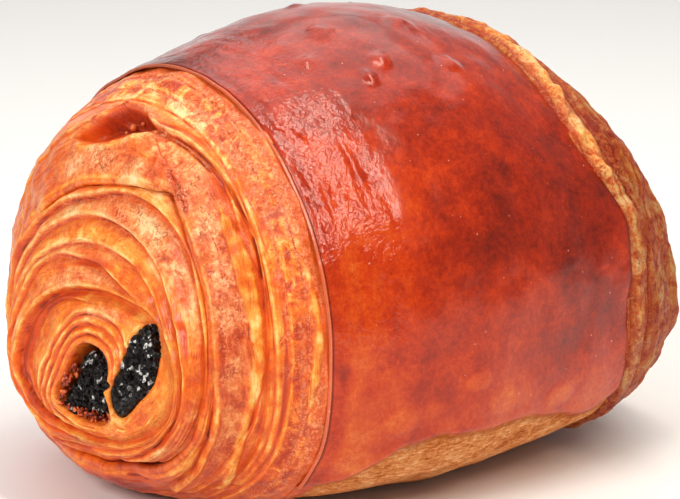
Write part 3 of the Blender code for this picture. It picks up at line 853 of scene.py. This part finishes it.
def wrap_relief(skin):
    """Relief and colours of the glazed wrap."""
    near = skin.past(skin.along[:1])
    far = -skin.past(skin.along[-1:])
    x, y, z = np.moveaxis(skin.points, -1, 0)
    skin.height += 0.50 * np.exp(-near / 14.0)
    skin.height -= 0.5 * smooth_step((z - 40) / 10) * np.exp(-far / 9.0)
    swell(skin)
    skin.height += 0.12 * bump((near - 0.12) / 0.12) - 0.14 * bump((near - 0.40) / 0.12)
    skin.height += skin.lumps(72, 16.0, 0.5) + skin.lumps(73, 4.0, 0.06)
    dents = noise(round_roll(skin.layer / 1.9, skin.turn, 6.0), 77)
    dented = smooth_step((6.5 - np.abs(near - 7)) / 3) * smooth_step((z - 20) / 8)
    skin.height -= 0.30 * dented * np.maximum(dents - 0.05, 0)
    behind = smooth_step((y + 12) / 10)
    skin.coarse = np.maximum(dented, smooth_step((14 - near) / 8) * behind)
    skin.height += (0.014 + 0.015 * dented) * layered_noise(skin.points / 1.1, 78, 2)
    uneven = 0.35 * noise(skin.points / 1.1, 79)
    for blister_x, blister_y, size, height in BLISTERS:
        reach = np.hypot(x - blister_x, y - blister_y) / size + uneven
        skin.height += np.where(z > 35, 1.3 * height * bump(reach * 1.2), 0)
    wave = 0.7 * noise(np.stack((x / 5, y / 40, 0 * x), -1), 71)
    below = straight_line(GLAZE_ENDS, x) + wave - z + 0.30 * noise(skin.points / 0.8, 75)
    skin.dark = smooth_step(below / 0.3)
    skin.height += 0.15 * bump((below + 0.9) / 0.7) - 0.45 * smooth_step(below / 0.4)
    skin.height -= 0.5 * smooth_step((4.0 - z) / 2.0)
    # The pale bead on the near edge is partly the paler cut edge and partly a painted highlight;
    # the dark lines in the furrow behind it and along the far edge are painted shade.
    skin.tone = bump((near - 0.10) / 0.13) - bump((near - 0.40) / 0.12) - bump(far / 0.4)
    skin.crackle = skin.patches(GLAZE_PALE, skin.lumps(76, 5.0, 0.7))
    for *centre, size in GLAZE_OVALS:
        reach = np.linalg.norm((skin.points - centre) / (1.3 * size, size, 0.8 * size), axis=-1)
        oval = smooth_step((1 - reach) * 3)
        skin.crackle = np.maximum(skin.crackle, 0.9 * oval)
        skin.height += 0.12 * oval
    for *centre, size in GLAZE_SPOTS:
        skin.crackle -= 0.60 * bump(np.linalg.norm(skin.points - centre, axis=-1) / size)
    # Painted shade: a darker band beside the near edge, where the lamp's highlight does not reach.
    skin.crackle -= 0.5 * bump((near - 1.8) / 1.5)
    # Darker on the far half of the side and over the top: partly darker crust, partly painted
    # shade.
    skin.crackle -= 0.45 * bump((z - 27) / 14) * smooth_step((skin.along - 0.60) / 0.06)
    skin.crackle -= (0.60 + 0.10 * behind) * smooth_step((z - 51) / 5)
    skin.skin = bump((below - 0.4) / 0.6)


def build_wrap():
    """The glazed wrap over the middle of the roll."""
    turn = places_round()
    near_line = WRAP_NEAR - 0.001 + 0.002 * ring_noise(turn, 2.2, 0, 81)
    closed_sheet("glazed_wrap", near_line, ring_line(WRAP_END, turn) + 0.002, WRAP_RINGS, 0.6,
                 wrap_relief, 0.36, 2.0, "glaze")


def build_far_end():
    """The far end: a lumpy ridge beside the glaze, then turns that step in to the far swirl."""
    turn = places_round()
    share = np.linspace(0, 1, FAR_RINGS)[:, None]
    along = FAR_START + (FAR_END - FAR_START) * share + 0 * turn
    skin = Skin(along, turn)
    lines = [(FAR_LAYERS_FROM, 0.0), (1.0, (1 - FAR_LAYERS_FROM) * FAR_LAYERS_ALONG)]
    for k, (place, wave, phase) in enumerate(FAR_EDGES):
        line = place + wave * np.sin(2 * turn + math.radians(phase))
        line += 0.006 * ring_noise(turn, 2.5, k, 91)
        strength = 1 + 0.4 * ring_noise(turn, 2.5, k, 92)
        skin.add_edge(-skin.past(line), strength, 0.9, 0.9, 0.6, 4.0)
        lines.append((line, (place - FAR_LAYERS_FROM) * FAR_LAYERS_ALONG))
    skin.follow(lines)
    past = skin.past(ring_line(WRAP_END, turn))
    up = np.sin(skin.turn)
    ridge = (1.0 + 1.1 * noise(skin.points / 2.4, 93)) * ring_line(RIDGE, turn)
    upper = smooth_step((up + 0.3) / 0.4)
    on_ridge = bump((past - 1.55) / 1.25)
    skin.height += 0.75 * ridge * on_ridge
    skin.tone += (0.05 + 0.27 * upper * ridge) * on_ridge
    skin.height -= 0.4 * bump((past - 0.1) / 0.3) + 1.6 * smooth_step(-(past + 0.4) / 0.4)
    # Painted shade in the crease where the glaze ends.
    skin.darken(0.7 * bump((past - 0.15) / 0.2))
    beyond_ridge = upper * bump((past - 3.5 - 0.6 * noise(skin.points / 4, 97)) / 0.4)
    skin.height -= 0.5 * beyond_ridge
    # Painted shade in the gap beyond the ridge.
    skin.darken(0.75 * beyond_ridge)
    slim = smooth_step((along - 0.76) / 0.05) * smooth_step((0.94 - along) / 0.05)
    skin.height -= slim * (1.2 * upper + 2.0 * smooth_step((-up - 0.3) / 0.3))
    skin.skin = smooth_step(skin.lumps(94, 6, 0.9) - 0.1)
    skin.crackle = smooth_step(0.6 * noise(skin.points / 7, 96) + 0.2)
    skin.tone += skin.lumps(95, 9, 0.25) - 0.05
    calm = 1 - 0.6 * skin.skin
    fine_layers(skin, 23, 1.3, 5.0, 0.09 * calm)
    fine_layers(skin, 33, 0.50, 7.0, 0.07 * calm)
    skin.height += 0.06 * layered_noise(skin.points / 0.8, 98, 2)
    minor_edges(skin, 55, 1.2, calm)
    swell(skin)
    skin.height += skin.lumps(43, 6.0, 0.5) * smooth_step(past + 0.5)
    moved = skin.moved()
    for centre, outline in ((FAR_LEFT_AT, FAR_LEFT), (FAR_RIGHT_AT, FAR_RIGHT)):
        distance = opening_distance(skin.points, centre, outline)
        sink_opening(skin, moved, distance, -FAR_OPENING_DEPTH)
        moved[..., 0] += 0.25 * bump((distance - 0.6) / 0.5)
    tips = (moved[0].mean(0) - (2.0, 0, 0), moved[-1].mean(0))
    values = skin.values()
    # Browner over the far end except the upper ridge: partly a darker bake, partly painted shade.
    values["brown_and_shade"] = 1 - 0.75 * np.clip(on_ridge * upper * ridge, 0, 1)
    make_piece("far_end", moved, tips, values, "brown")


def stick_end(centre, outline, grow, slope, sink, power):
    """Rings of a stick's rounded end, from its middle out to its side."""
    angles = np.arange(STICK_AROUND) * 2 * math.pi / STICK_AROUND
    rise = np.linspace(0.02, 1, 50)[:, None] * math.pi / 2
    reach = (ring_line(outline, angles) - STICK_GAP + grow) * np.sin(rise)
    y = reach * np.cos(angles)
    z = reach * np.sin(angles)
    x = slope[0] * y + slope[1] * z + sink * (1 - np.cos(rise)) ** power
    return np.stack((x, y, z), -1) + centre


def build_stick(name, node, near, near_outline, far, far_outline, slope, rough):
    """A baking stick of chocolate, whose bare ends have bubbled and set unevenly."""
    near_end = stick_end(near, near_outline, 0.3, slope, 1.4, 3)
    far_end = stick_end(far, far_outline, 0.0, (0.05, -0.1), -2.0, 1.5)[::-1]
    share = np.linspace(0, 1, 40)[1:-1, None, None]
    shaft = near_end[-1] + (far_end[0] - near_end[-1]) * share
    grid = np.concatenate((near_end, shaft, far_end))
    outward = unit(np.cross(np.gradient(grid, axis=1), np.gradient(grid, axis=0)))
    x, _, z = np.moveaxis(grid, -1, 0)
    # Where the stick is rougher and gets painted glints: the top of the right stick, all of the
    # left one.
    rough_glinting = smooth_step((z - 18.5) / 1.5) if rough < 0.3 else np.ones_like(z)
    bumps = 0.22 * (1 - np.abs(layered_noise(grid / 1.1, 101, 3)) * 2)
    blobs = rough * layered_noise(grid / 2.2, 105, 2)
    height = (bumps + blobs) * (0.25 + 0.75 * rough_glinting) * smooth_step((np.abs(x) - 36) / 3)
    moved = grid + outward * height[..., None]
    tips = (moved[0].mean(0), moved[-1].mean(0))
    make_piece(name, moved, tips, {"tone": rough_glinting}, "chocolate", "dark_chocolate", node)


def crumb(centre, size, seed, rows=5, columns=8, uneven=0.45):
    """One small crumb, as points and faces. It is a ball when it isn't uneven."""
    rng = np.random.default_rng(seed)
    lat = np.linspace(0.25, math.pi - 0.25, rows)[:, None]
    lon = np.arange(columns)[None] * 2 * math.pi / columns
    ball = np.stack((np.sin(lat) * np.cos(lon), np.sin(lat) * np.sin(lon),
                     np.cos(lat) + 0 * lon), -1)
    radii = size * rng.uniform(1 - uneven, 1 + uneven, (rows, columns, 1))
    radii = radii * rng.uniform(1 - 1.3 * uneven, 1 + 0.7 * uneven, 3)
    points = np.vstack(((ball * radii).reshape(-1, 3), ((0, 0, size), (0, 0, -size))))
    return points + centre, grid_faces(rows, columns, False)


def join_crumbs(name, crumbs, finish):
    """One piece from a list of crumbs."""
    points = []
    faces = []
    for more, sides in crumbs:
        faces += [[corner + len(points) for corner in side] for side in sides]
        points += more.tolist()
    add_piece(name, points, faces, {}, finish)


def build_crumbs():
    """Crumbs of caramelised dough round the left stick, in its opening."""
    rng = np.random.default_rng(7)
    crumbs = []
    for k in range(CRUMBS):
        angle = math.radians(rng.uniform(190, 385))
        reach = ring_line(LEFT_OPENING, np.array([angle % (2 * math.pi)]))[0]
        reach = reach - 0.20 - abs(rng.normal(0, 0.60))
        y = LEFT_OPENING_AT[0] + reach * math.cos(angle)
        z = LEFT_OPENING_AT[1] + reach * math.sin(angle)
        x = -43.2 - 0.14 * (y + 8.4) + 0.15 * (z - 18.7) + rng.uniform(0.8, 2.2)
        crumbs.append(crumb(np.array((x, y, z)), rng.uniform(0.10, 0.42), 1000 + k))
    join_crumbs("caramel_crumbs", crumbs, "caramel")


def build_bubbles():
    """Small round bubbles on the wall of the torn air pocket."""
    crumbs = []
    for degree, place, depth, size in POCKET_BUBBLES:
        spot = Skin(np.array([[place]]), math.radians(degree))
        centre = spot.points[0, 0] - spot.outward[0, 0] * depth
        crumbs.append(crumb(centre, size, 1, 11, 16, 0.0))
    join_crumbs("pocket_bubbles", crumbs, "bubble")


class Shader:
    """A material's node tree, with short calls to add and join nodes."""

    def __init__(self, name):
        self.material = bpy.data.materials.new(name)
        self.material.use_nodes = True
        self.tree = self.material.node_tree
        self.out = self.tree.nodes["Principled BSDF"]

    def node(self, kind, inputs, **settings):
        """A new node, with its inputs set to values or joined to other sockets."""
        made = self.tree.nodes.new(kind)
        for key, value in settings.items():
            setattr(made, key, value)
        for key, value in inputs.items():
            self.put(made.inputs[key], value)
        return made

    def put(self, socket, value):
        """Sets a socket to a value or joins another socket to it."""
        if isinstance(value, bpy.types.NodeSocket):
            self.tree.links.new(value, socket)
        else:
            socket.default_value = value

    def place(self):
        """The place of each point in the part's axes, in metres."""
        return self.node("ShaderNodeTexCoord", {}).outputs["Object"]

    def attribute(self, name, output="Fac"):
        return self.node("ShaderNodeAttribute", {}, attribute_name=name).outputs[output]

    def noise(self, vector, scale, detail=3.0, rough=0.55, distortion=0.0):
        inputs = {"Vector": vector, "Scale": scale, "Detail": detail, "Roughness": rough,
                  "Distortion": distortion}
        return self.node("ShaderNodeTexNoise", inputs).outputs["Fac"]

    def cells(self, vector, scale):
        """The outputs of a cell pattern."""
        return self.node("ShaderNodeTexVoronoi", {"Vector": vector, "Scale": scale}).outputs

    def vectors(self, operation, a, b):
        made = self.node("ShaderNodeVectorMath", {0: a, 1: b}, operation=operation)
        return made.outputs["Value" if operation == "DOT_PRODUCT" else "Vector"]

    def stretch(self, vector, scale):
        return self.vectors("MULTIPLY", vector, scale)

    def maths(self, operation, a, b=0.0, c=0.0, clamp=False):
        made = self.node("ShaderNodeMath", {0: a, 1: b, 2: c}, operation=operation,
                         use_clamp=clamp)
        return made.outputs[0]

    def times(self, a, b):
        return self.maths("MULTIPLY", a, b)

    def span(self, value, low, high, to_low=0.0, to_high=1.0):
        """A value moved smoothly from one span to another."""
        inputs = {"Value": value, "From Min": low, "From Max": high, "To Min": to_low,
                  "To Max": to_high}
        made = self.node("ShaderNodeMapRange", inputs, interpolation_type="SMOOTHSTEP")
        return made.outputs["Result"]

    def ramp(self, value, stops):
        """A colour from a value, through stops of (value, colour)."""
        made = self.node("ShaderNodeValToRGB", {"Fac": value})
        while len(made.color_ramp.elements) < len(stops):
            made.color_ramp.elements.new(0.5)
        for element, (place, colour) in zip(made.color_ramp.elements, stops):
            element.position = place
            element.color = linear(colour)
        return made.outputs["Color"]

    def mix(self, share, a, b, blend="MIX"):
        """A mix of two colours. Each is a socket or a colour given as 0 to 255."""
        made = self.node("ShaderNodeMix", {"Factor": share}, data_type="RGBA", blend_type=blend)
        for label, value in (("A", a), ("B", b)):
            socket = [s for s in made.inputs if s.name == label and s.type == "RGBA"][0]
            self.put(socket, linear(value) if isinstance(value, tuple) else value)
        return [s for s in made.outputs if s.type == "RGBA"][0]

    def mix_value(self, share, a, b):
        inputs = {"Factor": share, "A": a, "B": b}
        return self.node("ShaderNodeMix", inputs, data_type="FLOAT").outputs["Result"]

    def bumps(self, height, distance, strength, normal=None):
        """A normal bent by a height, on top of another bent normal if there is one."""
        inputs = {"Height": height, "Distance": distance, "Strength": strength}
        if normal is not None:
            inputs["Normal"] = normal
        return self.node("ShaderNodeBump", inputs).outputs["Normal"]

    def centred(self, value, amount, base=0.0, clamp=False):
        """A noise moved to lie about a base, times an amount."""
        around = self.maths("SUBTRACT", value, 0.5)
        return self.maths("MULTIPLY_ADD", around, amount, base, clamp)

    def contour(self, pattern, width):
        """Thin lines where a noise passes through its middle."""
        away = self.maths("ABSOLUTE", self.maths("SUBTRACT", pattern, 0.5))
        return self.span(away, 0.0, width, 1.0, 0.0)

    def finish(self, **values):
        for label, value in values.items():
            self.put(self.out.inputs[label.replace("_", " ")], value)
        return self.material


def linear(colour):
    """A colour given as 0 to 255, as the light it stands for."""
    share = np.array(colour[:3], float) / 255
    light = np.where(share <= 0.04045, share / 12.92, ((share + 0.055) / 1.055) ** 2.4)
    return (*light.tolist(), 1.0)


def dough_material(name, tint, gloss, coarse):
    """Laminated dough: buttery orange bands, pale lips, pink speckled skin, red-brown folds partly
    from painted shade.
    """
    s = Shader(name)
    place = s.place()
    grain = s.attribute("grain", "Vector")
    crackle = s.attribute("crackle")
    dark = s.attribute("dark")
    streak = s.noise(s.stretch(grain, (1.8, 0.35, 0.35)), 1.0, 4.0, 0.6)
    thin = s.noise(s.stretch(grain, (6.0, 1.0, 1.0)), 1.0, 3.0, 0.6)
    blotch = s.noise(place, 260.0, 3.0, 0.6)
    blobs = s.noise(place, 430.0, 5.0, 0.62, 1.2)
    mottle = s.noise(place, 700.0, 4.0, 0.65, 0.8)
    patch = s.noise(place, 1500.0, 3.0, 0.6, 1.0)
    speck = s.noise(place, 3900.0, 2.0, 0.6)
    cluster = s.span(s.noise(place, 300.0, 4.0, 0.65, 0.5), 0.48, 0.62)
    tone = s.maths("ADD", s.attribute("tone"), 0.42)
    for pattern, amount in ((streak, s.span(crackle, 0, 1, 0.30, 0.1)),
                            (blobs, s.span(crackle, 0, 1, 0.7, 3.2)), (thin, 0.20),
                            (blotch, 1.15), (patch, 0.35 * coarse), (speck, 0.40 * coarse)):
        tone = s.centred(pattern, amount, tone)
    butter = s.ramp(tone, ((0.0, (176, 46, 8)), (0.25, (212, 78, 14)), (0.5, (234, 118, 28)),
                           (0.72, (244, 162, 66)), (1.0, (252, 210, 128))))
    skin_share = s.times(s.attribute("skin"), s.span(blotch, 0.35, 0.60, 0.45, 1.0))
    skin_tone = s.centred(mottle, 0.9, s.centred(patch, 0.8, s.maths("ADD", tone, 0.06)))
    skin = s.ramp(skin_tone, ((0.0, (150, 46, 26)), (0.25, (206, 96, 56)), (0.5, (234, 142, 88)),
                              (0.8, (250, 198, 140)), (1.0, (254, 218, 168))))
    colour = s.mix(skin_share, butter, skin)
    rough_area = s.maths("MAXIMUM", skin_share, s.times(crackle, 0.8))
    clustered = s.times(rough_area, cluster)
    hair = s.contour(s.noise(s.stretch(grain, (2.4, 0.14, 0.14)), 1.0, 2.0), 0.020)
    hair = s.times(hair, s.span(rough_area, 0.2, 0.8, 0.60, 0.12))
    crack = s.contour(s.noise(place, 560.0, 3.0, 0.6, 1.6), 0.026)
    shown = s.span(s.maths("MULTIPLY_ADD", dark, 0.6, cluster), 0.2, 0.9, 0.10, 0.95)
    crack = s.times(crack, s.times(rough_area, shown))
    stipple = s.times(s.span(speck, 0.54, 0.62), s.span(clustered, 0, 0.8, 0.16, 0.75))
    pale = s.times(s.span(speck, 0.36, 0.46, 1.0, 0.0), s.span(clustered, 0, 0.8, 0.14, 0.50))
    for share, mark in ((hair, (184, 54, 18)), (crack, (150, 44, 24)), (stipple, (172, 56, 26)),
                        (pale, (254, 204, 138))):
        colour = s.mix(share, colour, mark)
    # The dark field is partly painted shade in furrows, openings, hollows and under the sheets,
    # partly dark crust; below it turns the colour red-brown.
    depth = s.centred(patch, 0.35, s.centred(thin, 0.20, dark))
    fold = s.ramp(depth, ((0.35, (225, 92, 28)), (0.60, (205, 72, 22)), (0.80, (162, 48, 16)),
                          (1.0, (100, 24, 8))))
    crust_tone = s.centred(speck, 0.7, s.centred(dark, -0.25, patch))
    crusted = s.ramp(crust_tone, ((0.28, (104, 22, 14)), (0.46, (184, 78, 44)),
                                  (0.58, (236, 148, 98)), (0.72, (252, 206, 162))))
    fold = s.mix(s.times(rough_area, 0.75), fold, crusted)
    colour = s.mix(s.span(dark, 0.04, 0.50), colour, fold)
    # Multiplies the far end's colour towards brown, partly a darker bake, partly painted shade.
    if tint:
        colour = s.mix(s.attribute("brown_and_shade"), colour, tint, "MULTIPLY")
    area = s.span(rough_area, 0.0, 0.8, 0.30, 1.0)
    lines = s.maths("SUBTRACT", s.maths("MULTIPLY_ADD", thin, 0.4, streak), hair)
    crinkle = s.maths("ADD", s.times(mottle, 1.6), s.maths("SUBTRACT", patch, crack))
    normal = s.bumps(lines, 0.00007, 0.7)
    normal = s.bumps(s.times(crinkle, area), 0.00010, 0.8, normal)
    normal = s.bumps(s.times(speck, area), 0.00007, 0.8, normal)
    return s.finish(Base_Color=colour, Roughness=0.5, Normal=normal, Specular_IOR_Level=0.12,
                    Coat_Weight=gloss, Coat_Roughness=0.16, Coat_IOR=1.45, Coat_Normal=normal,
                    Subsurface_Weight=0.15, Subsurface_Radius=(1.0, 0.36, 0.12),
                    Subsurface_Scale=0.0007)


def glaze_material():
    """Egg-washed crust: mottled deep red-brown under a thin glossy coat, and a pale matt foot."""
    s = Shader("glazed_crust")
    place = s.place()
    grain = s.attribute("grain", "Vector")
    broad = s.noise(place, 60.0, 3.0, 0.55)
    mottle = s.noise(place, 330.0, 4.0, 0.6)
    fine = s.noise(place, 1500.0, 3.0, 0.65)
    leather = s.noise(s.stretch(grain, (2.0, 0.8, 0.8)), 1.0, 3.0, 0.6, 0.8)
    across = s.noise(s.stretch(grain, (0.7, 5.0, 5.0)), 1.0, 3.0, 0.65)
    grit = s.noise(place, 3600.0, 3.0, 0.65)
    foot = s.attribute("dark")
    edge = s.attribute("tone")
    coarse = s.attribute("coarse")
    tone = s.centred(mottle, 0.7, s.centred(broad, 0.9, 0.45))
    tone = s.centred(fine, 0.5, s.centred(grit, 0.35, tone))
    tone = s.maths("MULTIPLY_ADD", s.attribute("crackle"), 0.35, tone, clamp=True)
    crust = s.ramp(tone, ((0.0, (104, 18, 1)), (0.3, (156, 34, 1)), (0.5, (188, 51, 2)),
                          (0.72, (207, 76, 10)), (1.0, (226, 118, 42))))
    # Painted highlight on the near edge's bead, partly its paler cut edge; painted shade in the
    # furrow behind it and along the far edge.
    crust = s.mix(s.times(s.maths("MAXIMUM", edge, 0.0), 0.55), crust, (232, 140, 98))
    groove = s.maths("MAXIMUM", s.times(edge, -1.0), 0.0)
    crust = s.mix(s.times(groove, 0.8), crust, (104, 18, 6))
    # Painted highlights: small pale glints scattered over the crust.
    dots = s.cells(place, 620.0)
    painted_sparkle = s.times(s.span(dots["Distance"], 0.03, 0.09, 1.0, 0.0),
                      s.span(dots["Color"], 0.62, 0.72))
    crust = s.mix(s.times(painted_sparkle, 0.55), crust, (248, 184, 150))
    pale_tone = s.centred(mottle, 1.3, s.centred(across, 1.5, s.centred(grit, 0.6, 0.46)))
    pale_tone = s.centred(fine, 1.1, pale_tone, clamp=True)
    pale = s.ramp(pale_tone, ((0.0, (140, 66, 26)), (0.3, (200, 116, 60)), (0.6, (222, 150, 92)),
                              (1.0, (246, 206, 156))))
    pale = s.mix(s.times(s.attribute("skin"), 0.75), pale, (164, 76, 32))
    normal = s.bumps(leather, 0.00002, 0.7)
    grains = s.noise(place, 1600.0, 1.0, 0.5, 0.4)
    pebbles = s.maths("MULTIPLY_ADD", grains, 1.7, s.maths("MULTIPLY_ADD", grit, 0.3, fine))
    pebbles = s.times(pebbles, s.span(coarse, 0.0, 1.0, 0.4, 1.8))
    normal = s.bumps(pebbles, 0.000034, 0.8, normal)
    normal = s.bumps(s.times(foot, across), 0.0003, 0.6, normal)
    rough = s.mix_value(foot, s.span(mottle, 0.3, 0.7, 0.38, 0.50), 0.80)
    coat = s.times(s.maths("SUBTRACT", 1.0, foot), 0.90)
    return s.finish(Base_Color=s.mix(foot, crust, pale), Roughness=rough, Normal=normal,
                    Specular_IOR_Level=0.10, Specular_Tint=linear((255, 188, 150)),
                    Coat_Weight=coat, Coat_IOR=1.43, Coat_Normal=normal,
                    Coat_Roughness=s.span(coarse, 0.0, 0.6, 0.20, 0.11),
                    Subsurface_Weight=0.05, Subsurface_Radius=(1.0, 0.35, 0.15),
                    Subsurface_Scale=0.001)


def chocolate_material():
    """Dark chocolate that has bubbled in the oven: near black, with glossy facets and painted
    glints.
    """
    s = Shader("baked_chocolate")
    place = s.place()
    bent = s.vectors("ADD", place, s.stretch(s.noise(place, 1200.0, 2.0), (0.0006,) * 3))
    facets = s.cells(bent, 1900.0)
    offset = s.vectors("SUBTRACT", bent, facets["Position"])
    lean = s.vectors("SUBTRACT", facets["Color"], (0.5, 0.5, 0.5))
    fine = s.noise(place, 2600.0, 3.0, 0.7)
    patch = s.noise(place, 420.0, 2.0, 0.6)
    # Painted highlights: pale glints on some facets.
    painted_glint = s.times(s.span(facets["Color"], 0.76, 0.79), s.span(patch, 0.47, 0.55))
    painted_glint = s.times(s.times(painted_glint, s.attribute("tone")), s.span(fine, 0.35, 0.6))
    base = s.ramp(fine, ((0.3, (4, 2, 2)), (0.6, (14, 6, 5)), (0.8, (44, 18, 10))))
    normal = s.bumps(s.vectors("DOT_PRODUCT", offset, lean), 1.6, 1.0)
    return s.finish(Base_Color=s.mix(painted_glint, base, (236, 234, 230)),
                    Roughness=s.span(patch, 0.4, 0.6, 0.26, 0.12),
                    Normal=s.bumps(fine, 0.00008, 0.6, normal), Specular_IOR_Level=0.24)


def caramel_material():
    """Crumbs of dough fried in sugar and butter: glossy orange to dark red."""
    s = Shader("caramel_crumb")
    patch = s.noise(s.place(), 900.0, 2.0, 0.6)
    colour = s.ramp(patch, ((0.35, (84, 22, 12)), (0.5, (188, 66, 24)), (0.65, (236, 120, 52))))
    return s.finish(Base_Color=colour, Roughness=0.24, Specular_IOR_Level=0.6)


def bubble_material():
    """Bubbles of dough inside the air pocket: smooth, pale orange."""
    return Shader("dough_bubble").finish(Base_Color=linear((226, 112, 54)), Roughness=0.4)


MATERIALS = {"dough": dough_material("baked_dough", None, 0.60, 1.2),
             "brown": dough_material("brown_shaded_dough", (190, 172, 160), 0.15, 2.4),
             "glaze": glaze_material(), "chocolate": chocolate_material(),
             "caramel": caramel_material(), "bubble": bubble_material()}


def build_stage():
    """A plain pale floor under the pastry."""
    bpy.ops.mesh.primitive_circle_add(vertices=96, radius=3.0, fill_type="NGON",
                                      location=(0, 0, -0.0001))
    floor = bpy.context.object
    floor.name = "floor"
    finish = Shader("pale_floor").finish(Base_Color=FLOOR_COLOUR, Roughness=0.7,
                                         Specular_IOR_Level=0.2)
    floor.data.materials.append(finish)


def place_facing(thing, spot, axes):
    """Adds a camera or lamp to the scene at a spot in metres, with the given axes."""
    bpy.context.collection.objects.link(thing)
    thing.matrix_world = Matrix.Translation(spot) @ Matrix(axes).transposed().to_4x4()


def build_camera():
    """The camera, which looks at the near end and one side from a little above."""
    a = CAMERA_AZIMUTH
    e = CAMERA_ELEVATION
    back = Vector((math.sin(a) * math.cos(e), -math.cos(a) * math.cos(e), math.sin(e)))
    right = Vector((math.cos(a), math.sin(a), 0))
    up = back.cross(right)
    aim = Vector((*MIDDLE, AIM_HEIGHT))
    aim += right * CAMERA_SHIFT_RIGHT + up * CAMERA_SHIFT_UP
    data = bpy.data.cameras.new("camera")
    data.lens = CAMERA_LENS
    data.sensor_width = 36
    data.clip_start = 0.01
    camera = bpy.data.objects.new("camera", data)
    place_facing(camera, (aim + back * CAMERA_DISTANCE) * MM, (right, up, back))
    bpy.context.scene.camera = camera


def softbox(name, way, long_way, distance, width, length, energy, colour):
    """A soft rectangular light that faces the pastry, from a direction in the part's axes."""
    way = Vector(way).normalized()
    across = Vector(long_way).cross(way).normalized()
    data = bpy.data.lights.new(name, "AREA")
    data.shape = "RECTANGLE"
    data.size = width
    data.size_y = length
    data.energy = energy
    data.color = colour
    lamp = bpy.data.objects.new(name, data)
    lamp.visible_camera = False
    place_facing(lamp, LIGHTS_AIM + way * distance, (across, way.cross(across), way))


def build_light():
    """The studio lights, and an even light from all round."""
    for lamp in LAMPS:
        softbox(*lamp)
    world = bpy.data.worlds.new("studio")
    world.use_nodes = True
    inputs = world.node_tree.nodes["Background"].inputs
    inputs["Color"].default_value = (1.0, 1.0, 1.0, 1.0)
    inputs["Strength"].default_value = WORLD_LIGHT
    bpy.context.scene.world = world


build_camera()
build_light()
build_stage()
build_core()
build_turn()
build_wrap()
build_far_end()
for stick in STICKS:
    build_stick(*stick)
build_crumbs()
build_bubbles()
bpy.context.scene.view_settings.view_transform = "Standard"
